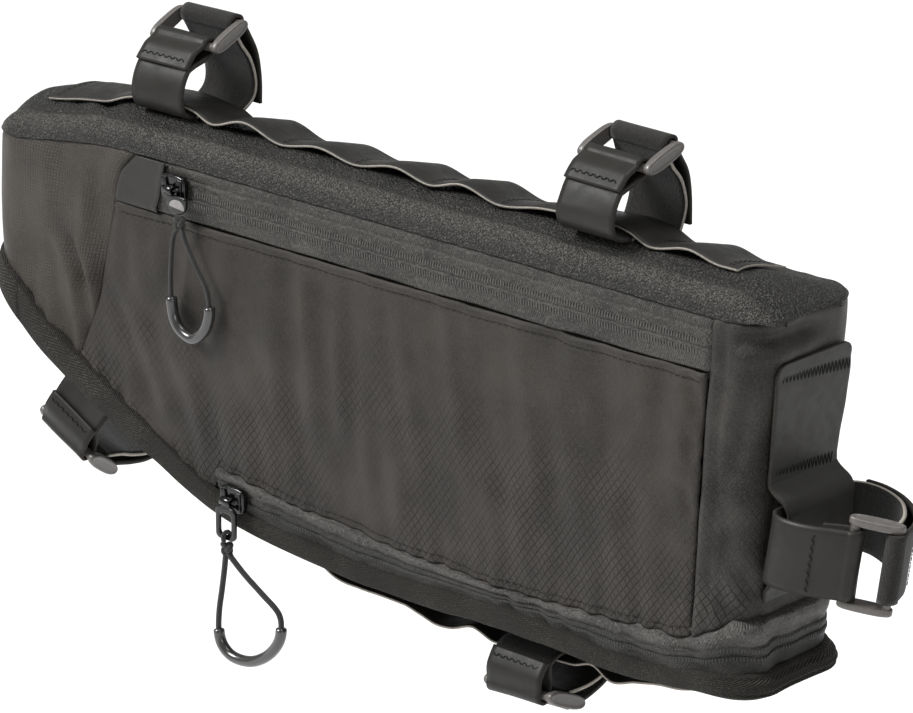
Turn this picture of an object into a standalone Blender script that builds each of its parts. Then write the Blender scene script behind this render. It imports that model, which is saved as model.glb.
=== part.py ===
# Bicycle frame bag: a narrow wedge-bottomed bag that hangs below a frame's top tube.
# All lengths are in millimetres in the bag frame, and metres in the scene.
# Bag frame: X along the bag (0 near the nose, 338 at the tail end), Y from the front
# panel (0) to the back panel (54), Z from the top seam (0) upwards.
# Scene frame: the origin is on the axis of the two top strap loops, midway between them.

import math

import bmesh
import bpy
from mathutils import Matrix, Vector

MM = 0.001
ORIGIN = Vector((155.75, 27.0, 26.0))

# ---- driving sizes ---------------------------------------------------------
NOSE_X = -29.6          # left end of the bag
TAIL_X = 338.0          # right end of the bag at the top seam
TAIL_LEAN = 0.0625      # the tail end leans this much in X for each mm of Z
DEPTH = 54.0            # front panel to back panel
NOSE_R = 17.0           # plan radius of the nose corners
TAIL_R = 14.0           # plan radius of the tail corners
CLOTH = 1.8             # wall thickness, padded cloth
GAP = 0.35              # clearance between neighbouring pieces
SEAM = 0.6              # clearance between neighbouring panels at a seam
CROWN = 8.6             # rise of the padded top panel
CROWN_TILT = 0.28       # the crown stands higher along the front than along the back
TOP_T = 2.0             # thickness of the top panel
TAIL_FLARE = 5.0        # the binding stands out this much round the tail end
NOSE_FLARE = 1.8        # and this much round the nose
RIM = 2.4               # the walls end this far below the top seam, under the top panel's rim
ZIP_LOW = -20.5         # lower seam of the main zip band
ZIP_MID = -11.5         # centre line of the main zip
WEB_W = 25.0            # strap webbing width
WEB_T = 1.4             # strap webbing thickness
STRIP_W = 25.0          # sewn daisy strips
STRIP_T = 1.2
BUCKLE_W = 33.0
BUCKLE_L = 18.0
BUCKLE_BAR = 3.2        # bar diameter
CORD_D = 2.0
GRIP_D = 4.2
FOLD_R = BUCKLE_BAR / 2 + 0.6 + WEB_T / 2

# ---- outline tables in side view: X, Z ------------------------------------
TOP_SEAM = ((-30, -7.9), (-6, -6), (12, -3), (45, 0), (400, 0))
LOW_SEAM = ((80, -109), (111, -113), (179, -118), (226, -119.5), (271, -117.5),
            (309, -115.0), (326, -107), (338, -105))
BIND_TOP = ((-30, -52), (-20, -56), (4, -74.5), (35, -92), (66, -108), (88, -118.5), (115, -124.6), (140, -126.6),
            (172, -127.8), (200, -127.0), (233, -125.7), (264, -127.4), (285, -128.2), (304, -126.8), (322, -124), (338, -125))
BIND_LOW = ((-30, -66.5), (-22, -72), (-5, -85.5), (29, -104), (65, -119.5), (88, -128.0), (112, -132.8), (137, -134.9),
            (160, -136.4), (190, -136.6), (218, -135.4), (245, -135.4), (275, -136.4), (304, -134.3), (322, -132.5), (338, -133))
NOSE_SEAM = ((0, 41), (17, 39.5), (30, 38.5), (59, 36), (89, 29), (100, 27))   # depth, X
TAIL_SEAM = ((0, 318), (12, 317), (108, 311), (120, 310))                      # depth, X


def smooth(table, x):
    """Monotone cubic reading of a two-column table."""
    n = len(table)
    if x <= table[0][0]:
        return float(table[0][1])
    if x >= table[-1][0]:
        return float(table[-1][1])
    slope = [(table[i + 1][1] - table[i][1]) / (table[i + 1][0] - table[i][0]) for i in range(n - 1)]
    tan = [slope[0]] + [0.0 if slope[i - 1] * slope[i] <= 0 else
                        2 * slope[i - 1] * slope[i] / (slope[i - 1] + slope[i]) for i in range(1, n - 1)] + [slope[-1]]
    for i in range(n - 1):
        x0, z0 = table[i]
        x1, z1 = table[i + 1]
        if x <= x1:
            h = x1 - x0
            t = (x - x0) / h
            return ((2 * t ** 3 - 3 * t ** 2 + 1) * z0 + (t ** 3 - 2 * t ** 2 + t) * h * tan[i]
                    + (-2 * t ** 3 + 3 * t ** 2) * z1 + (t ** 3 - t ** 2) * h * tan[i + 1])
    return float(table[-1][1])


def top_seam(x):
    return smooth(TOP_SEAM, x)


def bind_low(x):
    return smooth(BIND_LOW, x)


def belly(x):
    """How far the middle of the bottom panel hangs below the binding's lower edge."""
    a = max(0.0, min(1.0, (x - 108.0) / 32.0))
    b = max(0.0, min(1.0, (322.0 - x) / 30.0))
    return 6.0 * a * a * (3 - 2 * a) * b * b * (3 - 2 * b)


def bind_top(x):
    return smooth(BIND_TOP, x)


def low_seam(x):
    return smooth(LOW_SEAM, x)


def tail_x(z):
    return TAIL_X + TAIL_LEAN * z


def half_depth(x, z=0.0):
    """Half of the plan outline's depth at x: the corners are rounded."""
    right = tail_x(z)
    h = DEPTH / 2
    if x < NOSE_X + NOSE_R:
        d = max(0.0, NOSE_X + NOSE_R - x)
        return h - NOSE_R + math.sqrt(max(0.0, NOSE_R ** 2 - d ** 2))
    if x > right - TAIL_R:
        d = max(0.0, x - right + TAIL_R)
        return h - TAIL_R + math.sqrt(max(0.0, TAIL_R ** 2 - d ** 2))
    return h


def crown(x, y):
    """Outer surface of the padded top panel."""
    v = max(-1.0, min(1.0, (y - DEPTH / 2) / half_depth(x)))
    t = max(0.0, min(1.0, (x - NOSE_X) / 15.0, (TAIL_X - x) / 18.0))
    full = math.sin(math.pi / 2 * t) ** 0.7
    nose = max(0.0, min(1.0, (60.0 - x) / 60.0))             # fuller and level towards the nose
    rise = (CROWN + 3.2 * nose) * (1 - abs(v) ** 2.6) - CROWN_TILT * (1 - nose) * (y - DEPTH / 2) * (1 - v * v)
    return top_seam(x) + rise * full


# ---- scene helpers ---------------------------------------------------------
for old in list(bpy.data.objects):
    bpy.data.objects.remove(old, do_unlink=True)

BAG = bpy.data.collections.new("frame_bag")
CUTTERS = bpy.data.collections.new("cutters")
bpy.context.scene.collection.children.link(BAG)
bpy.context.scene.collection.children.link(CUTTERS)


def material(name, rgb, rough, metal=0.0):
    m = bpy.data.materials.new(name)
    m.use_nodes = True
    b = m.node_tree.nodes["Principled BSDF"]
    b.inputs["Base Color"].default_value = (*rgb, 1)
    b.inputs["Roughness"].default_value = rough
    b.inputs["Metallic"].default_value = metal
    return m


M_FABRIC = material("ripstop_fabric", (0.070, 0.066, 0.062), 0.75)
M_TOP = material("top_panel_grain", (0.090, 0.086, 0.080), 0.70)
M_TAPE = material("coated_zip_tape", (0.110, 0.115, 0.115), 0.45)
M_BIND = material("binding_tape", (0.045, 0.042, 0.032), 0.85)
M_RUBBER = material("coated_webbing", (0.070, 0.070, 0.070), 0.55)
M_PLASTIC = material("buckle_plastic", (0.150, 0.140, 0.130), 0.45)
M_METAL = material("black_slider_metal", (0.020, 0.020, 0.020), 0.20, 0.6)
M_CORD = material("cord", (0.030, 0.030, 0.030), 0.80)
M_GRIP = material("grip_plastic", (0.040, 0.042, 0.045), 0.30)


def scene_point(p):
    return (Vector(p) - ORIGIN) * MM


def add_object(name, data, mat, collection=None):
    ob = bpy.data.objects.new(name, data)
    (collection or BAG).objects.link(ob)
    data.materials.append(mat)
    return ob


def finish_mesh(name, bm, mat, angle=35):
    me = bpy.data.meshes.new(name)
    bm.normal_update()
    bm.to_mesh(me)
    bm.free()
    me.shade_smooth()
    me.set_sharp_from_angle(angle=math.radians(angle))
    return add_object(name, me, mat)


BAG_CENTRE = Vector((155.0, 27.0, -60.0))


def sheet(name, rows, thickness, mat, offset=-1.0, ring=False, inside=BAG_CENTRE):
    """A surface lofted through rows of points, facing away from a point inside the bag,
    and thickened into a closed solid: offset -1 grows inwards, 1 outwards."""
    bm = bmesh.new()
    grid = [[bm.verts.new(scene_point(p)) for p in row] for row in rows]
    for a, b in zip(grid, grid[1:]):
        n = len(a)
        for j in range(n if ring else n - 1):
            k = (j + 1) % n
            bm.faces.new((a[j], a[k], b[k], b[j]))
    bm.normal_update()
    centre = scene_point(inside)
    if sum(f.calc_area() * f.normal.dot(f.calc_center_median() - centre) for f in bm.faces) < 0:
        bmesh.ops.reverse_faces(bm, faces=bm.faces)
    ob = finish_mesh(name, bm, mat)
    mod = ob.modifiers.new("thickness", "SOLIDIFY")
    mod.thickness = thickness * MM
    mod.offset = offset
    mod.use_even_offset = True
    mod.use_quality_normals = True
    return ob


# ---- wall outline ----------------------------------------------------------
def bulge(x, z):
    """How far the front and back walls belly out between top seam and binding."""
    top, low = top_seam(x), bind_low(x)
    v = max(0.0, min(1.0, (z - low) / (top - low)))
    along = math.sin(math.pi * max(0.0, min(1.0, (x - 25.0) / 295.0))) ** 0.6 if 25 < x < 320 else 0.0
    return 2.6 * math.sin(math.pi * v) * along


def nose_columns(steps=5):
    """Plan positions round the nose, from the front seam to the back seam:
    (fraction along the straight front or back run, corner angle, end fraction)."""
    cols = [("front", f) for f in (0.0, 0.33, 0.66)]
    cols += [("front_corner", i / steps) for i in range(steps + 1)]
    cols += [("end", f) for f in (0.35, 0.65)]
    cols += [("back_corner", i / steps) for i in range(steps + 1)]
    cols += [("back", f) for f in (0.34, 0.67, 1.0)]
    return cols


def nose_point(col, z, out=0.0):
    kind, f = col
    seam = smooth(NOSE_SEAM, -z)
    cx, r = NOSE_X + NOSE_R, NOSE_R + out
    if kind == "front":
        return (seam + (cx - seam) * f, -out, z)
    if kind == "front_corner":
        a = math.pi / 2 * f
        return (cx - r * math.sin(a), NOSE_R - r * math.cos(a), z)
    if kind == "end":
        return (NOSE_X - out - 1.2, NOSE_R + (DEPTH - 2 * NOSE_R) * f, z)
    if kind == "back_corner":
        a = math.pi / 2 * f
        return (cx - r * math.cos(a), DEPTH - NOSE_R + r * math.sin(a), z)
    return (cx + (seam - cx) * f, DEPTH + out, z)


def tail_point(col, z, out=0.0, seam=None):
    kind, f = col
    end = tail_x(z)
    seam = smooth(TAIL_SEAM, -z) if seam is None else seam
    cx, r = end - TAIL_R, TAIL_R + out
    if kind == "front":
        return (seam + (cx - seam) * f, -out, z)
    if kind == "front_corner":
        a = math.pi / 2 * f
        return (cx + r * math.sin(a), TAIL_R - r * math.cos(a), z)
    if kind == "end":
        return (end + out, TAIL_R + (DEPTH - 2 * TAIL_R) * f, z)
    if kind == "back_corner":
        a = math.pi / 2 * f
        return (cx + r * math.cos(a), DEPTH - TAIL_R + r * math.sin(a), z)
    return (cx + (seam - cx) * f, DEPTH + out, z)


def corner_share(col):
    """0 on the straight sides, 1 on the end, rising round the corners."""
    return {"front_corner": col[1], "end": 1.0, "back_corner": 1.0 - col[1]}.get(col[0], 0.0)


def column_walls(point, cols, top, low, rows, out=0.0):
    """Rows of points between the curves top(x) and low(x) round one end of the bag."""
    grid = []
    for i in range(rows + 1):
        f = i / rows
        row = []
        for col in cols:
            z = -60.0 * f
            for _ in range(8):
                x = point(col, z)[0]
                z = top(x) + (low(x) - top(x)) * f
            row.append(point(col, z, out))
        grid.append(row)
    return grid


def flat_wall(x_left, x_right, top, low, cols, rows, y, sign):
    """Rows of points of a front (sign -1) or back (sign 1) panel between two seams."""
    grid = []
    for i in range(rows + 1):
        f = i / rows
        row = []
        for j in range(cols + 1):
            g = j / cols
            z = -60.0 * f
            for _ in range(8):
                x = x_left(z) + (x_right(z) - x_left(z)) * g
                z = top(x) + (low(x) - top(x)) * f
            row.append((x, y + sign * bulge(x, z), z))
        grid.append(row)
    return grid


def nose_seam_x(z):
    return smooth(NOSE_SEAM, -z)


def tail_seam_x(z):
    return smooth(TAIL_SEAM, -z)


# ---- walls -----------------------------------------------------------------
sheet("nose_panel",
      column_walls(nose_point, nose_columns(), lambda x: top_seam(x) - RIM, lambda x: bind_top(x) + SEAM, 6),
      CLOTH, M_FABRIC)

tail_cols = nose_columns(4)
sheet("end_panel",
      column_walls(tail_point, tail_cols, lambda x: top_seam(x) - RIM, lambda x: low_seam(x) + 2 * SEAM, 6),
      CLOTH, M_FABRIC)

sheet("front_panel",
      flat_wall(lambda z: nose_seam_x(z) + SEAM, lambda z: tail_seam_x(z) - SEAM, lambda x: ZIP_LOW - SEAM,
                lambda x: max(low_seam(x) + 1.5 * SEAM if x > 84 else -999.0, bind_top(x)) + SEAM, 22, 6, 0.0, -1.0),
      CLOTH, M_FABRIC)

sheet("main_zip",
      flat_wall(lambda z: nose_seam_x(z) + SEAM, lambda z: tail_seam_x(z) - SEAM, lambda x: top_seam(x) - RIM,
                lambda x: ZIP_LOW, 16, 2, 0.0, -1.0),
      CLOTH, M_TAPE)

sheet("back_panel",
      flat_wall(lambda z: nose_seam_x(z) + SEAM, lambda z: tail_seam_x(z) - SEAM, lambda x: top_seam(x) - RIM,
                lambda x: bind_top(x) + SEAM, 20, 5, DEPTH, 1.0),
      CLOTH, M_FABRIC)


# Lower zip band: from its point at the left, along the front, round the tail end.
LOWER_ZIP_X = 91.0


def lower_band_rows(rows):
    cols = [("run", i / 22) for i in range(22)] + [c for c in tail_cols if c[0] != "front"]
    cols = [c for c in cols if c[0] != "back"] + [("back", 0.5), ("back", 0.95)]

    def point(col, z, out=0.0):
        start = tail_x(z) - TAIL_R
        if col[0] == "run":
            x = LOWER_ZIP_X + (start - LOWER_ZIP_X) * col[1]
            return (x, -bulge(x, z) - out, z)
        return tail_point(col, z, out + 1.5 * corner_share(col) * (out > 0), seam=tail_seam_x(z))

    return column_walls(point, cols, low_seam, lambda x: bind_top(x) + SEAM, rows, 0.001)


sheet("lower_zip", lower_band_rows(2), CLOTH, M_TAPE)


# Binding: one tape folded round the whole lower edge.
def binding_rows(rows, out):
    front = [NOSE_X + NOSE_R + (TAIL_X - 8.5 - TAIL_R - NOSE_X - NOSE_R) * i / 24 for i in range(1, 24)]
    cols = [("x_front", x) for x in front]
    cols += [("tail", ("front_corner", i / 4)) for i in range(5)] + [("tail", ("end", 0.5))]
    cols += [("tail", ("back_corner", i / 4)) for i in range(5)]
    cols += [("x_back", x) for x in reversed(front)]
    cols += [("nose", ("back_corner", 1 - i / 4)) for i in range(5)] + [("nose", ("end", 0.5))]
    cols += [("nose", ("front_corner", 1 - i / 4)) for i in range(5)]

    def point(col, z, o=0.0):
        kind, c = col
        if kind == "x_front":
            return (c, -o, z)
        if kind == "x_back":
            return (c, DEPTH + o, z)
        if kind == "tail":
            return tail_point(c, z, o + TAIL_FLARE * corner_share(c) * (o > 0))
        return nose_point(c, z, o + NOSE_FLARE * corner_share(c) * (o > 0))

    return column_walls(point, cols, bind_top, bind_low, rows, out)


sheet("binding", binding_rows(2, 1.2), 2.6, M_BIND, ring=True)


# ---- top and bottom panels -------------------------------------------------
def plan_grid(x_left, x_right, stations, across, inset, height, z_plan):
    rows = []
    for i in range(stations + 1):
        a = math.pi * i / stations
        g = 0.5 - 0.5 * math.cos(a) * (1.0 - 0.25 * math.sin(a) ** 2)
        x = x_left + inset + (x_right - x_left - 2 * inset) * g
        h = max(half_depth(max(NOSE_X + 0.02, min(tail_x(z_plan(x)) - 0.02, x)), z_plan(x)) - inset, 3.0)
        rows.append([(x, DEPTH / 2 + h * math.sin(math.pi / 2 * (2 * j / across - 1)),
                      height(x, DEPTH / 2 + h * math.sin(math.pi / 2 * (2 * j / across - 1))))
                     for j in range(across + 1)])
    return rows


sheet("top_panel",
      plan_grid(NOSE_X, TAIL_X, 30, 12, 0.0, lambda x, y: crown(x, y) + 0.1, lambda x: 0.0),
      TOP_T, M_TOP)

sheet("bottom_panel",
      plan_grid(NOSE_X, tail_x(-133) + 4.5, 30, 4, 2.6 - 1.2 + GAP + 1.5, lambda x, y: bind_low(x) + 0.4 - belly(x) * (1 - min(1.0, abs(y - DEPTH / 2) / 24.0) ** 2.6),
                lambda x: -133.0),
      1.6, M_FABRIC)


# ---- daisy strips ----------------------------------------------------------
# X of each station and the rise of the strip's middle line above the surface it is sewn to.
TOP_STRIP = (("end", -8, 0.0), ("sewn", 6, 0.0), ("sewn", 20, 0.0), ("hump", 34, 2.6), ("hump", 53, 4.4),
             ("hump", 66, 3.6), ("sewn", 76, 0.6), ("hump", 92, 4.2), ("sewn", 110, 0.0), ("hump", 128, 2.4),
             ("sewn", 145, 0.0), ("hump", 165, 3.0), ("sewn", 181, 0.4), ("hump", 196, 3.4), ("sewn", 213, 0.0),
             ("hump", 232, 2.6), ("hump", 246, 3.4), ("hump", 259, 4.2), ("hump", 270, 3.0), ("sewn", 280, 0.0),
             ("hump", 296, 2.6), ("sewn", 310, 0.2), ("end", 317, 0.2))
BOTTOM_STRIP = (("end", 118, 0.2), ("hump", 134, 4.2), ("hump", 147, 3.4), ("sewn", 159, 2.6), ("sewn", 167, 2.6),
                ("hump", 175, 4.0), ("hump", 184, 5.8), ("hump", 190, 5.2), ("sewn", 200, 2.4), ("hump", 211, 5.8),
                ("hump", 230, 5.2), ("hump", 246, 4.4), ("sewn", 255, 1.8), ("hump", 264, 5.0), ("hump", 275, 1.8),
                ("sewn", 288, 0.0), ("end", 306, 0.0))
SLOPE_STRIP = (("end", -14, 0.0), ("sewn", -8, 0.2), ("hump", 0, 3.8), ("hump", 6, 5.4), ("hump", 17, 5.8), ("hump", 29, 4.8),
               ("sewn", 42, 0.0), ("hump", 56, 2.4), ("end", 72, 0.0))


def strip(name, table, surface, normal_z, mid_y, mat, steps=4):
    knots = [(row[1], row[2]) for row in table]
    xs = []
    for a, b in zip(knots, knots[1:]):
        xs += [a[0] + (b[0] - a[0]) * i / steps for i in range(steps)]
    xs.append(knots[-1][0])
    rows = []
    for x in xs:
        rise = smooth(knots, x) + GAP + STRIP_T / 2 + 0.15
        rows.append([(x, mid_y + w, surface(x, mid_y + w) + normal_z * rise)
                     for w in (-STRIP_W / 2, -STRIP_W / 4, 0.0, STRIP_W / 4, STRIP_W / 2)])
    return sheet(name, rows, STRIP_T, mat, offset=0.0)


strip("top_strip", TOP_STRIP, crown, 1.0, 26.0, M_RUBBER, steps=3)
strip("bottom_strip", BOTTOM_STRIP, lambda x, y: bind_low(x) - belly(x), -1.0, 27.0, M_RUBBER, steps=3)
strip("slope_strip", SLOPE_STRIP, lambda x, y: bind_low(x), -1.15, 27.0, M_RUBBER, steps=3)

# ---- end patch: flat between its two stitched rows, then lifted over the end strap ----
# depth below the top seam, clearance from the end wall
END_PATCH = ((15.5, 0.4), (57.0, 0.4), (59.5, 2.2), (63.0, 7.0), (67.0, 8.4), (73.0, 8.4), (86.0, 6.6), (92.0, 2.6),
             (96.0, 0.4), (99.0, 0.4))
PATCH_W, PATCH_Y, PATCH_R, PATCH_T = 39.0, 26.5, 4.0, 1.2


def end_patch():
    rows = []
    depths = [15.5, 16.4, 17.8, 19.5, 57.0, 58.5, 60.0, 61.5, 63.0, 65.0, 68.0, 72.0, 79.0, 86.0, 89.0, 92.0, 94.0, 96.0, 99.0]
    for d in depths:
        lift = 0.4 if d <= 57 else smooth(END_PATCH, d)
        r = max(0.0, PATCH_R - (d - depths[0]))
        half = PATCH_W / 2 - PATCH_R + math.sqrt(max(0.0, PATCH_R ** 2 - r ** 2))
        rows.append([(tail_x(-d) + lift, PATCH_Y + half * s, -d) for s in (-1.0, -0.5, 0.0, 0.5, 1.0)])
    return sheet("end_patch", rows, PATCH_T, M_RUBBER, offset=1.0)


end_patch()


# ---- strap loops -----------------------------------------------------------
def arc(centre, radius, start, stop, steps):
    return [(centre[0] + radius * math.cos(math.radians(start + (stop - start) * i / steps)),
             centre[1] + radius * math.sin(math.radians(start + (stop - start) * i / steps)))
            for i in range(steps + 1)]


def curve_points(knots, steps):
    """Centripetal-style cubic through the knots, evenly stepped in each span."""
    pts = []
    n = len(knots)
    for i in range(n - 1):
        p0 = knots[max(i - 1, 0)]
        p1, p2 = knots[i], knots[i + 1]
        p3 = knots[min(i + 2, n - 1)]
        for k in range(steps):
            t = k / steps
            pts.append(tuple(0.5 * (2 * b + (c - a) * t + (2 * a - 5 * b + 4 * c - d) * t * t
                                    + (3 * b - a - 3 * c + d) * t ** 3)
                             for a, b, c, d in zip(p0, p1, p2, p3)))
    pts.append(tuple(knots[-1]))
    return pts


class Loop:
    """One strap with its buckle. The section is drawn in a plane: p runs from the bag's front
    to its back and q away from the bag. The strap's width runs along w."""

    def __init__(self, name, origin, w_dir, q_dir, near, far, sewn, front, back, tail,
                 near_arc, far_arc, skew=(0.0, 0.0)):
        self.name, self.origin = name, Vector(origin)
        self.w, self.q, self.p = Vector(w_dir).normalized(), Vector(q_dir).normalized(), Vector((0, 1, 0))
        self.near, self.far, self.skew = near, far, skew
        self.path = (curve_points(list(reversed(sewn)), 2)[:-1]
                     + arc(near, FOLD_R, near_arc[0], near_arc[1], 7)
                     + curve_points(front + back, 2)[1:-1]
                     + arc(far, FOLD_R, far_arc[0], far_arc[1], 7)
                     + curve_points(tail, 2)[1:])

    def point(self, p, q, w):
        turn = max(0.0, min(1.0, (q - 3.0) / (self.near[1] - 3.0)))     # the loop twists as it leaves the bag
        return (self.origin + self.p * (p + self.skew[0] * w * turn) + self.q * (q + self.skew[1] * w * turn)
                + self.w * w)

    def build(self):
        rows = [[self.point(p, q, s * WEB_W / 2) for s in (-1.0, 1.0)] for p, q in self.path]
        sheet("strap_" + self.name, rows, WEB_T, M_RUBBER, offset=0.0)
        self.buckle()

    def buckle(self):
        mid = ((self.near[0] + self.far[0]) / 2, (self.near[1] + self.far[1]) / 2)
        along = self.p * (self.far[0] - self.near[0]) + self.q * (self.far[1] - self.near[1])
        across = (self.w + self.p * self.skew[0] + self.q * self.skew[1]).normalized()
        along = along - across * along.dot(across)
        pitch = along.length
        along.normalize()
        normal = across.cross(along).normalized()
        frame = Matrix((across, along, normal)).transposed().to_4x4()
        frame.translation = scene_point(self.point(mid[0], mid[1], 0.0))
        rail_w = 2.6
        # side rails: a flat plate with round ends
        outline = ([(BUCKLE_L / 2 - 2.4 + 2.4 * math.cos(a), 2.4 * math.sin(a))
                    for a in [math.pi * (i / 6 - 0.5) for i in range(7)]]
                   + [(-BUCKLE_L / 2 + 2.4 - 2.4 * math.cos(a), -2.4 * math.sin(a))
                      for a in [math.pi * (i / 6 - 0.5) for i in range(7)]])
        bm = bmesh.new()
        for side in (-1, 1):
            inner, outer = side * (BUCKLE_W / 2 - rail_w), side * BUCKLE_W / 2
            a = [bm.verts.new((inner * MM, u * MM, v * MM)) for u, v in outline]
            b = [bm.verts.new((outer * MM, u * MM * 0.97, v * MM * 0.86)) for u, v in outline]
            bm.faces.new(a if side > 0 else a[::-1])
            bm.faces.new(b[::-1] if side > 0 else b)
            for i in range(len(a)):
                k = (i + 1) % len(a)
                bm.faces.new((a[i], b[i], b[k], a[k]) if side > 0 else (a[k], b[k], b[i], a[i]))
        bmesh.ops.recalc_face_normals(bm, faces=bm.faces)
        me = bpy.data.meshes.new("buckle_" + self.name)
        bm.to_mesh(me)
        bm.free()
        me.shade_smooth()
        me.set_sharp_from_angle(angle=math.radians(35))
        ob = add_object("buckle_" + self.name, me, M_PLASTIC)
        ob.matrix_world = frame
        for k, side in enumerate((-1, 1)):
            bpy.ops.mesh.primitive_cylinder_add(vertices=12, radius=BUCKLE_BAR / 2 * MM,
                                                depth=(BUCKLE_W - rail_w) * MM)
            bar = bpy.context.active_object
            bar.name = "bar_%s_%d" % (self.name, k)
            for c in list(bar.users_collection):
                c.objects.unlink(bar)
            CUTTERS.objects.link(bar)
            bar.matrix_world = frame @ Matrix.Translation((0, side * pitch / 2 * MM, 0)) @ Matrix.Rotation(math.pi / 2, 4, "Y")
            bar.hide_render = True
            bar.display_type = "WIRE"
            mod = ob.modifiers.new("bar_%d" % k, "BOOLEAN")
            mod.operation = "UNION"
            mod.object = bar
            mod.solver = "EXACT"


def top_loop(name, x_mid, shift, lift, near_by, far_by, skew):
    near = (19.8 + shift + near_by[0], 34.6 + lift + near_by[1])
    far = (33.3 + shift + far_by[0], 39.0 + lift + far_by[1])
    base = [(y, max(crown(x_mid + e, y) for e in (-12.5, 0.0, 12.5)) + GAP + WEB_T / 2 + 0.3) for y in (14.0 + shift * 0.5, 20.0, 27.0, 34.0, 38.0)]
    return Loop(name, (x_mid, 0, 0), (1, 0, 0), (0, 0, 1), near, far,
                sewn=[(near[0] + 1.87, near[1] - 1.87), (near[0] - 3.6, near[1] - 5.3),
                      (near[0] - 7.8, near[1] - 8.4), (near[0] - 10.4, near[1] - 11.6)],
                front=[(near[0] - 1.87, near[1] + 1.87), (13.5 + shift, 32.3 + lift), (9.2 + shift, 27.6 + lift),
                       (6.7 + shift, 23.4 + lift), (5.4 + shift, 19.6), (6.0 + shift, 15.6), (9.0 + shift * 0.8, 12.6)],
                back=base + [(41.3 + shift * 0.9, 12.2), (42.6 + shift, 18.5), (40.2 + shift, 26.0 + lift * 0.6),
                             (35.6 + shift, 31.8 + lift), (far[0] - 1.87, far[1] - 1.87)],
                tail=[(far[0] + 2.3, far[1] + 1.32), (39.4 + shift, 35.4 + lift), (43.3 + shift, 28.0 + lift * 0.6),
                      (45.1 + shift, 19.0), (45.0 + shift, 9.6)],
                near_arc=(-45, 135), far_arc=(225, 30), skew=skew)


LEFT_X, RIGHT_X = 53.0, 258.5
loops = [
    top_loop("top_left", LEFT_X, 4.0, 1.3, (0.0, 0.0), (0.2, 1.4), (0.02, 0.0)),
    top_loop("top_right", RIGHT_X, 0.0, 0.0, (1.2, 0.2), (1.7, 0.6), (-0.05, 0.0)),
]

# bottom strap: hangs under the flat part of the bottom edge, flattened by its own weight
BOTTOM_X = 230.5
loops.append(Loop("bottom", (BOTTOM_X, 0, bind_low(BOTTOM_X) - belly(BOTTOM_X) - 0.4), (1, 0, -0.01), (0, 0, -1),
                  near=(5.0, 15.5), far=(18.0, 21.2),
                  sewn=[(7.6, 15.0), (7.9, 10.5), (9.0, 7.4), (10.8, 5.2)],
                  front=[(2.35, 15.5), (3.3, 11.0), (5.3, 7.0), (8.2, 3.6), (12.4, 1.9)],
                  back=[(20.0, 1.5), (27.0, 1.5), (35.0, 1.5), (40.5, 2.6), (44.0, 7.0), (42.6, 12.4),
                        (37.6, 16.4), (31.0, 18.4), (24.5, 18.9), (18.0, 18.55)],
                  tail=[(18.0, 23.85), (26.5, 23.2), (36.0, 20.2), (43.6, 15.6), (47.2, 9.6), (47.4, 4.4)],
                  near_arc=(-10, 180), far_arc=(270, 90), skew=(-0.05, -0.08)))

# slope strap: a larger loop for a fat down tube
SLOPE_X, SLOPE = 16.6, math.radians(27.5)
loops.append(Loop("slope", (SLOPE_X, 0, bind_low(SLOPE_X)), (math.cos(SLOPE), 0, -math.sin(SLOPE)),
                  (-math.sin(SLOPE), 0, -math.cos(SLOPE)),
                  near=(7.0, 26.0), far=(18.6, 34.2),
                  sewn=[(9.5, 25.0), (8.9, 19.6), (10.2, 14.0), (12.2, 9.6)],
                  front=[(4.4, 26.4), (5.0, 19.4), (7.4, 12.0), (10.2, 6.2), (14.4, 2.6)],
                  back=[(20.0, 1.9), (27.0, 1.8), (36.0, 1.9), (46.0, 2.6), (53.0, 7.4), (56.2, 16.0),
                        (56.4, 25.6), (53.0, 34.0), (45.5, 38.6), (35.0, 36.6), (27.0, 33.4), (19.5, 31.7)],
                  tail=[(18.2, 36.85), (26.0, 38.2), (36.0, 41.0), (46.0, 42.2), (54.5, 37.6), (58.8, 28.6), (59.4, 18.0)],
                  near_arc=(-20, 170), far_arc=(290, 95), skew=(-0.08, -0.09)))

# end strap: goes round an upright tube behind the tail end
END_Z, END_TILT = -77.0, math.radians(8.5)
loops.append(Loop("end", (tail_x(END_Z), 0, END_Z), (math.sin(END_TILT), 0, math.cos(END_TILT)), (1, 0, 0),
                  near=(12.8, 33.2), far=(19.3, 45.6),
                  sewn=[(15.4, 32.4), (12.9, 27.4), (10.0, 22.4), (8.6, 17.6)],
                  front=[(10.2, 33.6), (8.2, 28.4), (6.0, 22.4), (4.6, 15.4), (4.8, 8.8), (7.0, 4.6), (11.0, 3.3)],
                  back=[(20.0, 3.3), (30.0, 3.3), (40.0, 3.3), (46.0, 4.6), (49.0, 9.8), (48.0, 18.4),
                        (42.6, 29.0), (34.0, 37.0), (26.5, 40.6), (21.0, 42.4), (17.9, 43.1)],
                  tail=[(21.3, 47.3), (29.4, 44.2), (39.0, 37.4), (46.6, 27.4), (50.8, 16.4), (51.4, 8.0)],
                  near_arc=(-15, 165), far_arc=(240, 40), skew=(0.0, 0.0)))

for loop in loops:
    loop.build()


# ---- zip garage, sliders, pull tabs, cords and grips ------------------------
def block(name, centre, size, mat, bevel=0.6, segments=2):
    bpy.ops.mesh.primitive_cube_add(size=1.0, location=scene_point(centre))
    ob = bpy.context.active_object
    ob.name = name
    for c in list(ob.users_collection):
        c.objects.unlink(ob)
    BAG.objects.link(ob)
    ob.data.transform(Matrix.Diagonal((size[0] * MM, size[1] * MM, size[2] * MM, 1)))
    ob.data.materials.append(mat)
    mod = ob.modifiers.new("edges", "BEVEL")
    mod.width = bevel * MM
    mod.segments = segments
    return ob


def helper(ob):
    for c in list(ob.users_collection):
        c.objects.unlink(ob)
    CUTTERS.objects.link(ob)
    ob.hide_render = True
    ob.display_type = "WIRE"
    return ob


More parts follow.
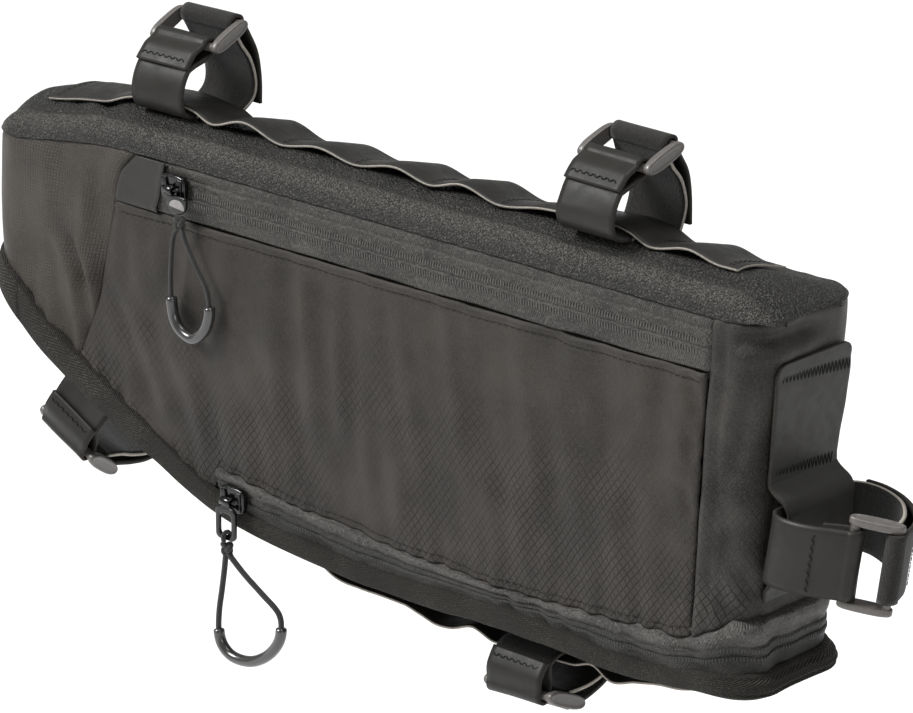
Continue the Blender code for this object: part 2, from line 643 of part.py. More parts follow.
def rod(name, centre, radius, length, axis, vertices=12):
    bpy.ops.mesh.primitive_cylinder_add(vertices=vertices, radius=radius * MM, depth=length * MM)
    ob = bpy.context.active_object
    ob.name = name
    turn = {"X": Matrix.Rotation(math.pi / 2, 4, "Y"), "Y": Matrix.Rotation(math.pi / 2, 4, "X"), "Z": Matrix.Identity(4)}
    ob.matrix_world = Matrix.Translation(scene_point(centre)) @ turn[axis]
    return ob


def combine(ob, other, operation):
    mod = ob.modifiers.new(operation.lower(), "BOOLEAN")
    mod.operation = operation
    mod.object = helper(other)
    mod.solver = "EXACT"


# Garage: the rubbery cover over the closed end of the main zip.
GARAGE = ((-2.0, 53.5, 66.9), (-8.0, 49.0, 65.6), (-14.5, 43.5, 64.5), (-17.8, 43.5, 63.4))   # Z, X left, X right
rows = []
for z, xa, xb in GARAGE:
    rows.append([(xa + (xb - xa) * f, -bulge(xa + (xb - xa) * f, z) - GAP, z) for f in (0.0, 0.25, 0.5, 0.75, 1.0)])
sheet("zip_garage", rows, 0.8, M_RUBBER, offset=1.0)

SLIDER_T = 2.6                           # slider body, in front of the zip
BRIDGE_OUT = 2.2                         # from the body's face to the middle of its bridge bar
UPPER_SLIDER = (72.9, -8.5)              # X, Z of the slider's middle
LOWER_SLIDER = (101.0, -119.0)
UPPER_WALL = -bulge(UPPER_SLIDER[0], UPPER_SLIDER[1] - 4.7) - 0.05
LOWER_WALL = -1.6


def bridge_y(y_wall):
    return y_wall - GAP - SLIDER_T - BRIDGE_OUT


def slider(name, x, z, y_wall):
    body = block("slider_" + name, (x, y_wall - GAP - SLIDER_T / 2, z), (12.0, SLIDER_T, 9.4), M_METAL, 0.9, 2)
    face = y_wall - GAP - SLIDER_T
    for k, side in enumerate((-1, 1)):
        post = block("post_%s_%d" % (name, k), (x + side * 3.9, face + 0.6 - 1.75, z), (1.6, 3.5, 2.2), M_METAL, 0.3, 1)
        combine(body, post, "UNION")
    combine(body, rod("bridge_" + name, (x, bridge_y(y_wall), z), 0.7, 7.4, "X", 10), "UNION")
    return body


def tab(name, x, z, y, knuckle_w, plate, slot):
    """Pull tab with a knuckle round the slider's bridge. Its origin is on the hinge axis.
    The plate is (left X, right X, top Z, bottom Z); the slot, if any, is the same."""
    knuckle = rod("tab_" + name, (x, y, z), 1.7, knuckle_w, "X", 14)
    for c in list(knuckle.users_collection):
        c.objects.unlink(knuckle)
    BAG.objects.link(knuckle)
    knuckle.data.materials.append(M_METAL)
    neck = block("neck_" + name, (x, y - 0.3, (z + plate[2]) / 2 - 0.6), (knuckle_w - 0.7, 1.4, z - plate[2] + 0.8), M_METAL, 0.2, 1)
    combine(knuckle, neck, "UNION")
    body = block("plate_" + name, ((plate[0] + plate[1]) / 2, y - 0.3, (plate[2] + plate[3]) / 2),
                 (plate[1] - plate[0], 1.5, plate[2] - plate[3]), M_METAL, 0.5, 2)
    combine(knuckle, body, "UNION")
    combine(knuckle, rod("eye_" + name, (x, y, z), 1.0, 9.0, "X", 10), "DIFFERENCE")
    if slot:
        cut = block("slot_" + name, ((slot[0] + slot[1]) / 2, y, (slot[2] + slot[3]) / 2),
                    (slot[1] - slot[0], 6.0, slot[2] - slot[3]), M_METAL, 0.8, 2)
        combine(knuckle, cut, "DIFFERENCE")
    return knuckle


slider("upper", *UPPER_SLIDER, UPPER_WALL)
slider("lower", *LOWER_SLIDER, LOWER_WALL)
tab("upper", 74.0, UPPER_SLIDER[1], bridge_y(UPPER_WALL), 3.6, (73.2, 82.8, -10.7, -16.6), None)
tab("lower", LOWER_SLIDER[0], LOWER_SLIDER[1], bridge_y(LOWER_WALL), 5.2, (96.1, 105.9, -121.3, -133.4),
    (98.1, 103.9, -123.6, -131.7))

# Pull loops. Route of each cord's middle line: X, Z, from the knot down, through the grip, and back up.
UPPER_PULL_Y, LOWER_PULL_Y = bridge_y(UPPER_WALL) - 0.5, bridge_y(LOWER_WALL) - 0.5
UPPER_KNOT = (79.2, -19.4, 2.3)          # X, Z, radius
LOWER_KNOT = (101.3, -136.5, 2.65)
UPPER_CORD = ((77.9, -22.1), (76.2, -24.6), (75.0, -30.4), (74.2, -39.9), (74.3, -48.2), (75.6, -55.7), (79.0, -59.8),
              (85.1, -61.4), (90.7, -57.1), (93.1, -51.7), (93.4, -47.9), (92.1, -41.5), (87.2, -34.4), (83.4, -28.6),
              (81.2, -24.6), (80.6, -22.1))
LOWER_CORD = ((100.6, -139.7), (99.8, -145.4), (98.4, -153.5), (96.9, -161.7), (96.5, -169.2), (98.4, -174.9),
              (103.9, -178.0), (112.6, -177.3), (120.7, -172.9), (126.3, -166.6), (128.1, -160.3), (126.6, -154.5),
              (118.6, -149.5), (110.2, -144.5), (103.4, -139.6))


def knot(name, y, x, z, r):
    bpy.ops.mesh.primitive_uv_sphere_add(segments=12, ring_count=8, radius=r * MM, location=scene_point((x, y, z)))
    ob = bpy.context.active_object
    ob.name = "knot_" + name
    for c in list(ob.users_collection):
        c.objects.unlink(ob)
    BAG.objects.link(ob)
    ob.data.transform(Matrix.Diagonal((1.0, 0.8, 0.95, 1)))
    ob.data.materials.append(M_CORD)
    ob.data.shade_smooth()
    return ob


def pipe(name, points, y, radius, mat, caps):
    cu = bpy.data.curves.new(name, "CURVE")
    cu.dimensions = "3D"
    cu.bevel_depth = radius * MM
    cu.bevel_resolution = 2
    cu.use_fill_caps = caps
    sp = cu.splines.new("POLY")
    sp.points.add(len(points) - 1)
    for i, (x, z) in enumerate(points):
        sp.points[i].co = (*scene_point((x, y, z)), 1)
    return add_object(name, cu, mat)


knot("upper", UPPER_PULL_Y, *UPPER_KNOT)
knot("lower", LOWER_PULL_Y, *LOWER_KNOT)
for name, y, route in (("upper", UPPER_PULL_Y, UPPER_CORD), ("lower", LOWER_PULL_Y, LOWER_CORD)):
    pts = curve_points(list(route), 3)
    pipe("cord_" + name, pts, y, CORD_D / 2, M_CORD, True)
    grip = pipe("grip_" + name, pts[12:31], y, 1.55, M_GRIP, False)
    mod = grip.modifiers.new("wall", "SOLIDIFY")
    mod.thickness = (GRIP_D / 2 - 1.55) * MM
    mod.offset = 1.0
    mod.use_even_offset = True
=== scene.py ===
# Looks of the bicycle frame bag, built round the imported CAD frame.
# Bag frame in millimetres: X along the bag, Y from the front panel (0) to the back panel (54),
# Z up from the top seam (0). Scene frame: bag frame less ORIGIN, in metres.
import math

import bmesh
import bpy
import numpy as np
from mathutils import Matrix, Vector

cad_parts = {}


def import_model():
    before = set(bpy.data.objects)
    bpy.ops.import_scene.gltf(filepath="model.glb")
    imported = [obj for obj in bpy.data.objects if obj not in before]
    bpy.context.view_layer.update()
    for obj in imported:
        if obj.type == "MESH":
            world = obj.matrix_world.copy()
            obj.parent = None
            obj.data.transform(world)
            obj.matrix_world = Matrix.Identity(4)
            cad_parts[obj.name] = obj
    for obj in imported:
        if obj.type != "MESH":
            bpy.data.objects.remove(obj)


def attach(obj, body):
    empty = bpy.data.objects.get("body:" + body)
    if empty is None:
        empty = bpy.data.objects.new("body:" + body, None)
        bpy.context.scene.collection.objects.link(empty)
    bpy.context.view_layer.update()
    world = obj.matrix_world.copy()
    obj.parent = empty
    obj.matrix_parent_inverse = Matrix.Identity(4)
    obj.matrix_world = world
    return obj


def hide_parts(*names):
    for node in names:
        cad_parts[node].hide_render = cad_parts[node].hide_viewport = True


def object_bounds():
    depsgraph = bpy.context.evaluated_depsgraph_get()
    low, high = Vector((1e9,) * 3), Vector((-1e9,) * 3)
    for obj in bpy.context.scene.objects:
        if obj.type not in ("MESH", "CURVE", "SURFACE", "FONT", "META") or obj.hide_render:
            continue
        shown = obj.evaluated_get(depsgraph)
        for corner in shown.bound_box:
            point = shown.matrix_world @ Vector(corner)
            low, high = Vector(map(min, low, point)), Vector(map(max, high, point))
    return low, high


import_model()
cad_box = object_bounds()

MM = 0.001
ORIGIN = np.array((155.75, 27.0, 26.0))
NOSE_X, TAIL_X, TAIL_LEAN, DEPTH = -29.6, 338.0, 0.0625, 54.0
NOSE_R, TAIL_R = 17.0, 14.0
GAP, SEAM, CROWN, CROWN_TILT, RIM = 0.35, 0.6, 8.6, 0.28, 2.4
ZIP_LOW, ZIP_MID = -20.5, -11.8
WEB_W, WEB_T, STRIP_W, STRIP_T = 25.0, 1.4, 25.0, 1.2
BUCKLE_W, BUCKLE_L, BUCKLE_BAR = 33.0, 18.0, 3.2
FOLD_R = BUCKLE_BAR / 2 + 0.6 + WEB_T / 2

# ---- camera ----------------------------------------------------------------
AZ, EL, DIST = math.radians(42.5), math.radians(19.4), 1.7
TARGET = Vector((0.05025, -0.0270, -0.0669))
back = Vector((math.sin(AZ) * math.cos(EL), -math.cos(AZ) * math.cos(EL), math.sin(EL)))
right = Vector((math.cos(AZ), math.sin(AZ), 0.0))
up = back.cross(right)
cam_data = bpy.data.cameras.new("camera")
cam_data.sensor_fit = "HORIZONTAL"
cam_data.sensor_width = 36.0
cam_data.lens = 36.0 * 5015.0 / 913.0
cam_data.clip_end = 50.0
cam = bpy.data.objects.new("camera", cam_data)
bpy.context.scene.collection.objects.link(cam)
turn = Matrix((right, up, back)).transposed().to_4x4()
cam.matrix_world = Matrix.Translation(TARGET + back * DIST) @ turn
bpy.context.scene.camera = cam


# ---- small maths -----------------------------------------------------------
def smooth(table, x):
    """Monotone cubic reading of a two-column table."""
    n = len(table)
    if x <= table[0][0]:
        return float(table[0][1])
    if x >= table[-1][0]:
        return float(table[-1][1])
    slope = [(table[i + 1][1] - table[i][1]) / (table[i + 1][0] - table[i][0]) for i in range(n - 1)]
    tan = [slope[0]] + [0.0 if slope[i - 1] * slope[i] <= 0 else
                        2 * slope[i - 1] * slope[i] / (slope[i - 1] + slope[i]) for i in range(1, n - 1)] + [slope[-1]]
    for i in range(n - 1):
        x0, z0 = table[i]
        x1, z1 = table[i + 1]
        if x <= x1:
            h = x1 - x0
            t = (x - x0) / h
            return ((2 * t ** 3 - 3 * t ** 2 + 1) * z0 + (t ** 3 - 2 * t ** 2 + t) * h * tan[i]
                    + (-2 * t ** 3 + 3 * t ** 2) * z1 + (t ** 3 - t ** 2) * h * tan[i + 1])
    return float(table[-1][1])


class Curve:
    """A table read as a smooth curve, for whole arrays at once."""

    def __init__(self, table, low=-60.0, high=420.0, step=0.25):
        self.x = np.arange(low, high, step)
        self.z = np.array([smooth(table, v) for v in self.x])

    def __call__(self, x):
        return np.interp(x, self.x, self.z)


top_seam = Curve(((-30, -7.9), (-6, -6), (12, -3), (45, 0), (400, 0)))
low_seam = Curve(((80, -109), (111, -113), (179, -118), (226, -119.5), (271, -117.5), (309, -115.0), (326, -107), (338, -105)))
bind_top = Curve(((-30, -52), (-20, -56), (4, -74.5), (35, -92), (66, -108), (88, -118.5), (115, -124.6), (140, -126.6),
                  (172, -127.8), (200, -127.0), (233, -125.7), (264, -127.4), (285, -128.2), (304, -126.8), (322, -124), (338, -125)))
bind_low = Curve(((-30, -66.5), (-22, -72), (-5, -85.5), (29, -104), (65, -119.5), (88, -128.0), (112, -132.8), (137, -134.9),
                  (160, -136.4), (190, -136.6), (218, -135.4), (245, -135.4), (275, -136.4), (304, -134.3), (322, -132.5), (338, -133)))


def belly(x):
    """How far the middle of the bottom panel hangs below the binding's lower edge."""
    a, b = np.clip((x - 108.0) / 32.0, 0, 1), np.clip((322.0 - x) / 30.0, 0, 1)
    return 6.0 * a * a * (3 - 2 * a) * b * b * (3 - 2 * b)
nose_curve = Curve(((-2, 54.0), (0, 53.0), (4.3, 48.6), (9.1, 43.9), (16.8, 41.0), (24, 39.4), (34, 36.8), (43.5, 34.3), (57, 31.0),
                    (64, 28.4), (72, 24.6), (78.6, 21.4), (84, 18.6), (100, 12)), -5, 140)
tail_curve = Curve(((0, 318), (12, 317), (108, 311), (120, 310)), -5, 160)


def nose_seam_x(z):
    return nose_curve(-z)


def tail_seam_x(z):
    return tail_curve(-z)


def tail_x(z):
    return TAIL_X + TAIL_LEAN * z


def step01(a, b, x):
    t = np.clip((x - a) / (b - a), 0, 1)
    return t * t * (3 - 2 * t)


def relief(seed, n, lx, lz, amp):
    """Gentle irregular relief: a sum of a few waves with fixed phases."""
    rs = np.random.RandomState(seed)
    phase, k, sign = rs.uniform(0, 2 * np.pi, n), rs.uniform(0.55, 1.6, (n, 2)), rs.choice([-1, 1], n)

    def f(x, z):
        s = 0.0
        for i in range(n):
            s = s + np.sin(2 * np.pi * (x * k[i, 0] / lx + sign[i] * z * k[i, 1] / lz) + phase[i])
        return amp * s / math.sqrt(n)
    return f


def folds(table, x, z, gain=1.45):
    """Sum of soft creases. Columns: X0, Z0, X1, Z1, half width, height (below 0 for a valley)."""
    total = np.zeros_like(x)
    for x0, z0, x1, z1, w, h in table:
        dx, dz = x1 - x0, z1 - z0
        n2 = dx * dx + dz * dz
        t = ((x - x0) * dx + (z - z0) * dz) / n2
        d = ((x - x0) * dz - (z - z0) * dx) / math.sqrt(n2)
        fade = step01(-0.35, 0.15, t) * (1 - step01(0.85, 1.35, t))
        total += h * fade * (np.exp(-(d / w) ** 2) - 0.45 * np.exp(-((np.abs(d) - 1.9 * w) / w) ** 2))
    return gain * total


def tuck(dist, depth=2.0):
    """How far a cloth sinks behind its neighbour, from the distance past the seam."""
    return depth * (1 - step01(-1.0, 1.1, dist))


def half_depth(x, z=0.0):
    h = DEPTH / 2
    dn = np.clip(NOSE_X + NOSE_R - x, 0, NOSE_R)
    dt = np.clip(x - tail_x(z) + TAIL_R, 0, TAIL_R)
    return np.where(x < 100, h - NOSE_R + np.sqrt(np.maximum(0, NOSE_R ** 2 - dn ** 2)),
                    h - TAIL_R + np.sqrt(np.maximum(0, TAIL_R ** 2 - dt ** 2)))


def crown(x, y):
    x, y = np.broadcast_arrays(np.asarray(x, float), np.asarray(y, float))
    v = np.clip((y - DEPTH / 2) / half_depth(x), -1, 1)
    t = np.clip(np.minimum(np.minimum((x - NOSE_X) / 15.0, (TAIL_X - x) / 18.0), 1.0), 0, 1)
    full = np.sin(np.pi / 2 * t) ** 0.7
    nose = np.clip((60.0 - x) / 60.0, 0, 1)
    rise = (CROWN + 3.2 * nose) * (1 - np.abs(v) ** 2.6) - CROWN_TILT * (1 - nose) * (y - DEPTH / 2) * (1 - v * v)
    return top_seam(x) + rise * full


def bulge(x, z):
    top, low = top_seam(x), bind_low(x)
    v = np.clip((z - low) / (top - low), 0, 1)
    along = np.sin(np.pi * np.clip((x - 25.0) / 295.0, 0, 1)) ** 0.6
    return 2.6 * np.sin(np.pi * v) * along


# ---- mesh helpers ----------------------------------------------------------
PIECES = []


def to_scene(p):
    return (np.asarray(p, float) - ORIGIN) * MM


def new_object(name, mesh, mats, body="bag", replaces=()):
    ob = bpy.data.objects.new(name, mesh)
    bpy.context.scene.collection.objects.link(ob)
    for m in mats:
        mesh.materials.append(m)
    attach(ob, body)
    if replaces:
        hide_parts(*replaces)
    PIECES.append(ob)
    return ob


def grid_object(name, P, mats, slot, thickness=0.0, offset=-1.0, ring=False, uv=None, inside=(155.0, 27.0, -60.0),
                body="bag", replaces=(), back_mat=0, rim_mat=0, flip=None, face_mats=None):
    """A surface through rows x columns of points, thickened into cloth."""
    P = np.asarray(P, float)
    R, C = P.shape[:2]
    idx = np.arange(R * C).reshape(R, C)
    cols = C if ring else C - 1
    j = np.arange(cols)
    k = (j + 1) % C
    a, b = idx[:-1][:, j], idx[:-1][:, k]
    c, d = idx[1:][:, k], idx[1:][:, j]
    quads = np.stack([a, b, c, d], -1).reshape(-1, 4)
    flat = P.reshape(-1, 3)
    e1 = flat[quads[:, 2]] - flat[quads[:, 0]]
    e2 = flat[quads[:, 3]] - flat[quads[:, 1]]
    nrm = np.cross(e1, e2)
    mid = flat[quads].mean(1) - np.asarray(inside)
    if (flip is None and (nrm * mid).sum() < 0) or flip:
        quads = quads[:, ::-1]
    me = bpy.data.meshes.new(name)
    me.from_pydata(to_scene(flat).tolist(), [], quads.tolist())
    if uv is None:
        du = np.linalg.norm(np.diff(P, axis=1), axis=2)
        dv = np.linalg.norm(np.diff(P, axis=0), axis=2)
        u = np.concatenate([np.zeros((R, 1)), np.cumsum(du, 1)], 1)
        u = u.mean(0, keepdims=True) + np.zeros((R, 1))
        v = np.concatenate([np.zeros((1, C)), np.cumsum(dv, 0)], 0)
        v = v.mean(1, keepdims=True) + np.zeros((1, C))
        uv = np.stack([u, v], -1)
    layer = me.uv_layers.new(name="cloth")
    loops = np.zeros(len(me.loops), np.int32)
    me.loops.foreach_get("vertex_index", loops)
    layer.data.foreach_set("uv", (np.asarray(uv, float).reshape(-1, 2)[loops] * 0.01).astype(np.float32).ravel())
    me.shade_smooth()
    ob = new_object(name, me, mats, body, replaces)
    if face_mats is not None:
        m = np.asarray(face_mats, np.int32)
        m = (m[:, None] + np.zeros((1, cols), np.int32)) if m.ndim == 1 else m
        me.polygons.foreach_set("material_index", m.ravel())
    if thickness:
        mod = ob.modifiers.new("thickness", "SOLIDIFY")
        mod.thickness = thickness * MM
        mod.offset = offset
        mod.use_even_offset = False
        mod.use_quality_normals = True
        mod.material_offset = back_mat
        mod.material_offset_rim = rim_mat
    return ob


def capsule(sides=6, rings=3):
    """Unit capsule-like bead along X, half length 1, radius 1."""
    vs, fs = [(-1.0, 0.0, 0.0)], []
    xs = [math.cos(math.pi * (1 - (i + 1) / (rings + 1))) for i in range(rings)]
    for x in xs:
        r = math.sqrt(1 - x * x) ** 0.6
        vs += [(x, r * math.cos(2 * math.pi * k / sides), r * math.sin(2 * math.pi * k / sides)) for k in range(sides)]
    vs.append((1.0, 0.0, 0.0))
    for k in range(sides):
        fs.append((0, 1 + (k + 1) % sides, 1 + k))
        for i in range(rings - 1):
            a = 1 + i * sides
            fs.append((a + k, a + (k + 1) % sides, a + sides + (k + 1) % sides, a + sides + k))
        a = 1 + (rings - 1) * sides
        fs.append((a + k, a + (k + 1) % sides, len(vs) - 1))
    return np.array(vs), fs


def beads(name, rows, mat, body="bag"):
    """Many small beads in one mesh: each row is centre, direction, normal, half length, half width, half height."""
    tv, tf = capsule()
    verts, faces = [], []
    for c, d, n, hl, hw, hh in rows:
        d = np.asarray(d, float)
        d = d / np.linalg.norm(d)
        n = np.asarray(n, float)
        n = n - d * n.dot(d)
        n = n / np.linalg.norm(n)
        s = np.cross(n, d)
        base = len(verts) * len(tv)
        verts.append(np.asarray(c) + tv[:, :1] * d * hl + tv[:, 1:2] * s * hw + tv[:, 2:3] * n * hh)
        faces += [tuple(base + i for i in f) for f in tf]
    me = bpy.data.meshes.new(name)
    me.from_pydata(to_scene(np.concatenate(verts)).tolist(), [], faces)
    me.shade_smooth()
    return new_object(name, me, [mat], body)


def stitch_line(points, normals, length, gap, radius, height=None):
    """Stitches along a line of points."""
    pts = np.asarray(points, float)
    nrm = np.asarray(normals, float) + np.zeros_like(pts)
    seg = np.linalg.norm(np.diff(pts, axis=0), axis=1)
    s = np.concatenate([[0], np.cumsum(seg)])
    rows, at = [], gap / 2
    while at + length < s[-1]:
        def here(t):
            return np.array([np.interp(t, s, pts[:, i]) for i in range(3)])
        a, b = here(at), here(at + length)
        n = np.array([np.interp(at + length / 2, s, nrm[:, i]) for i in range(3)])
        rows.append(((a + b) / 2, b - a, n, np.linalg.norm(b - a) / 2, radius, height or radius * 0.7))
        at += length + gap
    return rows


def zigzag(points, normals, across, pitch, radius, height=None):
    """Zigzag stitches along a line; across is the vector from the line's one side to the other."""
    pts = np.asarray(points, float)
    nrm = np.asarray(normals, float) + np.zeros_like(pts)
    seg = np.linalg.norm(np.diff(pts, axis=0), axis=1)
    s = np.concatenate([[0], np.cumsum(seg)])
    rows, side, n = [], 1.0, int(s[-1] / pitch)
    across = np.asarray(across, float)

    def here(t):
        return np.array([np.interp(t, s, pts[:, i]) for i in range(3)])
    for i in range(n):
        a = here(i * pitch) - across * 0.5 * side
        b = here((i + 1) * pitch) + across * 0.5 * side
        nn = np.array([np.interp((i + 0.5) * pitch, s, nrm[:, k]) for k in range(3)])
        rows.append(((a + b) / 2, b - a, nn, np.linalg.norm(b - a) / 2 * 0.96, radius, height or radius * 0.7))
        side = -side
    return rows


def tube(name, pts, radius, mat, body, replaces=(), sides=14, caps=True, radii=None):
    """A round tube along scene points in bag millimetres."""
    P = np.asarray(pts, float)
    T = np.gradient(P, axis=0)
    T /= np.linalg.norm(T, axis=1, keepdims=True)
    ref = np.array((0.0, 1.0, 0.0))
    N = np.zeros_like(P)
    n = ref - T[0] * ref.dot(T[0])
    if np.linalg.norm(n) < 0.1:
        n = np.array((1.0, 0, 0)) - T[0] * T[0][0]
    for i in range(len(P)):
        n = n - T[i] * n.dot(T[i])
        n = n / np.linalg.norm(n)
        N[i] = n
    B = np.cross(T, N)
    radii = np.full(len(P), radius) if radii is None else np.asarray(radii)
    a = np.linspace(0, 2 * np.pi, sides, endpoint=False)
    ringp = (P[:, None, :] + radii[:, None, None] * (np.cos(a)[None, :, None] * N[:, None, :] + np.sin(a)[None, :, None] * B[:, None, :]))
    verts = ringp.reshape(-1, 3)
    faces = []
    for i in range(len(P) - 1):
        for k in range(sides):
            q = (k + 1) % sides
            faces.append((i * sides + k, i * sides + q, (i + 1) * sides + q, (i + 1) * sides + k))
    if caps:
        verts = np.concatenate([verts, [P[0] - T[0] * radii[0] * 0.35], [P[-1] + T[-1] * radii[-1] * 0.35]])
        m = len(verts)
        last = (len(P) - 1) * sides
        faces += [(m - 2, (k + 1) % sides, k) for k in range(sides)]
        faces += [(m - 1, last + k, last + (k + 1) % sides) for k in range(sides)]
    me = bpy.data.meshes.new(name)
    me.from_pydata(to_scene(verts).tolist(), [], faces)
    length = np.concatenate([[0], np.cumsum(np.linalg.norm(np.diff(P, axis=0), axis=1))])
    layer = me.uv_layers.new(name="cloth")
    loops = np.zeros(len(me.loops), np.int32)
    me.loops.foreach_get("vertex_index", loops)
    uu = np.tile(a * radius, len(P))
    vv = np.repeat(length, sides)
    if caps:
        uu, vv = np.concatenate([uu, [0, 0]]), np.concatenate([vv, [0, length[-1]]])
    layer.data.foreach_set("uv", (np.stack([uu, vv], -1)[loops] * 0.01).astype(np.float32).ravel())
    me.shade_smooth()
    bm = bmesh.new()
    bm.from_mesh(me)
    bmesh.ops.recalc_face_normals(bm, faces=bm.faces)
    bm.to_mesh(me)
    bm.free()
    return new_object(name, me, [mat], body, replaces)


# ---- materials -------------------------------------------------------------
class Nodes:
    """Short-hand for building one material's node tree."""

    def __init__(self, name, rough=0.7, spec=0.5, metal=0.0, sheen=0.0, coat=0.0, coat_rough=0.1):
        self.m = bpy.data.materials.new(name)
        self.m.use_nodes = True
        self.t = self.m.node_tree
        self.b = self.t.nodes["Principled BSDF"]
        self.b.inputs["Roughness"].default_value = rough
        self.b.inputs["Specular IOR Level"].default_value = spec
        self.b.inputs["Metallic"].default_value = metal
        self.b.inputs["Sheen Weight"].default_value = sheen
        self.b.inputs["Sheen Roughness"].default_value = 0.5
        self.b.inputs["Coat Weight"].default_value = coat
        self.b.inputs["Coat Roughness"].default_value = coat_rough

    def put(self, socket, value):
        if isinstance(value, (int, float)):
            socket.default_value = value
        elif isinstance(value, tuple):
            socket.default_value = (*value, 1.0) if len(value) == 3 and len(socket.default_value) == 4 else value
        else:
            self.t.links.new(value, socket)

    def math(self, op, a, b=0.0, c=None):
        n = self.t.nodes.new("ShaderNodeMath")
        n.operation = op
        self.put(n.inputs[0], a)
        self.put(n.inputs[1], b)
        if c is not None:
            self.put(n.inputs[2], c)
        return n.outputs[0]

    def uv(self):
        n = self.t.nodes.new("ShaderNodeUVMap")
        n.uv_map = "cloth"
        s = self.t.nodes.new("ShaderNodeSeparateXYZ")
        self.t.links.new(n.outputs[0], s.inputs[0])
        return n.outputs[0], self.math("MULTIPLY", s.outputs[0], 100.0), self.math("MULTIPLY", s.outputs[1], 100.0)

    def position(self):
        n = self.t.nodes.new("ShaderNodeTexCoord")
        return n.outputs["Object"]

    def noise(self, vec, scale, detail=4.0, rough=0.6):
        n = self.t.nodes.new("ShaderNodeTexNoise")
        self.put(n.inputs["Vector"], vec)
        n.inputs["Scale"].default_value = scale
        n.inputs["Detail"].default_value = detail
        n.inputs["Roughness"].default_value = rough
        return n.outputs["Fac"]

    def voronoi(self, vec, scale, feature="F1"):
        n = self.t.nodes.new("ShaderNodeTexVoronoi")
        n.feature = feature
        self.put(n.inputs["Vector"], vec)
        n.inputs["Scale"].default_value = scale
        return n.outputs["Distance"]

    def ramp(self, fac, low, high, a, b):
        """fac from low..high read as a..b, clamped."""
        n = self.t.nodes.new("ShaderNodeMapRange")
        n.interpolation_type = "SMOOTHSTEP"
        self.put(n.inputs["Value"], fac)
        n.inputs["From Min"].default_value = low
        n.inputs["From Max"].default_value = high
        n.inputs["To Min"].default_value = a
        n.inputs["To Max"].default_value = b
        return n.outputs["Result"]

    def mix(self, fac, a, b):
        n = self.t.nodes.new("ShaderNodeMix")
        n.data_type = "RGBA"
        self.put(n.inputs["Factor"], fac)
        self.put(n.inputs[6], a)
        self.put(n.inputs[7], b)
        return n.outputs[2]

    def line(self, coord, pitch, width):
        """1 on thin lines a pitch apart, 0 between."""
        f = self.math("FRACT", self.math("DIVIDE", coord, pitch))
        d = self.math("ABSOLUTE", self.math("SUBTRACT", f, 0.5))
        return self.ramp(d, 0.0, width, 1.0, 0.0)

    def bump(self, height, distance, strength=1.0, normal=None):
        n = self.t.nodes.new("ShaderNodeBump")
        n.inputs["Strength"].default_value = strength
        n.inputs["Distance"].default_value = distance
        self.put(n.inputs["Height"], height)
        if normal is not None:
            self.t.links.new(normal, n.inputs["Normal"])
        return n.outputs["Normal"]

    def done(self, color, normal=None, rough=None):
        self.put(self.b.inputs["Base Color"], color)
        if normal is not None:
            self.t.links.new(normal, self.b.inputs["Normal"])
        if rough is not None:
            self.put(self.b.inputs["Roughness"], rough)
        return self.m


def ripstop(name, dark, light, pitch, slant, groove, seed_scale=34.0, square=False):
    """Woven cloth with a grid of ribs. slant is the lines' run along u for each mm of v."""
    n = Nodes(name, rough=0.5, spec=0.24, sheen=0.02)
    vec, u, v = n.uv()
    pos = n.position()
    sway = n.math("MULTIPLY", n.math("SUBTRACT", n.noise(pos, 70.0, 2.0), 0.5), 1.4)
    u2 = n.math("ADD", u, sway)
    if square:
        l1, l2 = n.line(u2, pitch, 0.24), n.line(v, pitch, 0.24)
    else:
        l1 = n.line(n.math("ADD", u2, n.math("MULTIPLY", v, slant)), pitch, 0.13)
        l2 = n.line(n.math("SUBTRACT", u2, n.math("MULTIPLY", v, slant)), pitch, 0.13)
    lines = n.math("MAXIMUM", l1, l2)
    blot = n.noise(pos, seed_scale, 3.0, 0.6)
    fine = n.noise(pos, 1500.0, 3.0, 0.65)
    weave = n.math("MULTIPLY", n.line(u, 0.55, 0.4), n.line(v, 0.5, 0.4))
    patch = n.ramp(n.noise(pos, 24.0, 2.0, 0.5), 0.36, 0.62, 0.22, 0.85)
    tone = n.mix(n.ramp(blot, 0.36, 0.68, 0.0, 1.0), dark, light)
    speck = n.mix(n.ramp(fine, 0.42, 0.70, 0.0, 0.45), tone, tuple(c * 1.8 for c in light))
    speck = n.mix(n.ramp(fine, 0.28, 0.46, 0.55, 0.0), speck, tuple(c * 0.35 for c in dark))
    shown = n.math("MULTIPLY", patch, groove if square else n.math("MULTIPLY", n.ramp(v, 34.0, 82.0, 0.16, 1.0), groove))
    color = n.mix(n.math("MULTIPLY", lines, shown), speck, tuple(c * 0.22 for c in dark))
    h = n.math("ADD", n.math("MULTIPLY", n.math("MULTIPLY", lines, shown), -1.1 if not square else -0.7),
               n.math("ADD", n.math("MULTIPLY", fine, 0.55), n.math("MULTIPLY", weave, 0.25)))
    return n.done(color, n.bump(h, 0.00032, 0.9), n.ramp(fine, 0.2, 0.8, 0.40, 0.62))


FRONT = ripstop("front_ripstop", (0.0175, 0.0151, 0.0128), (0.0310, 0.0268, 0.0228), 2.9, 0.75, 0.95)
# painted shade: the end panel is the same ripstop as the front, given a darker tone to stand in for the shade on the
# end that faces away from the light
SHADED_END_RIPSTOP = ripstop("end_ripstop_painted_shade", (0.0085, 0.0078, 0.0070), (0.036, 0.0325, 0.0290), 3.2, 0.75, 1.0, seed_scale=30.0)
NOSECLOTH = ripstop("nose_ripstop", (0.032, 0.0275, 0.0228), (0.049, 0.0430, 0.0360), 1.2, 0.0, 0.9, square=True)


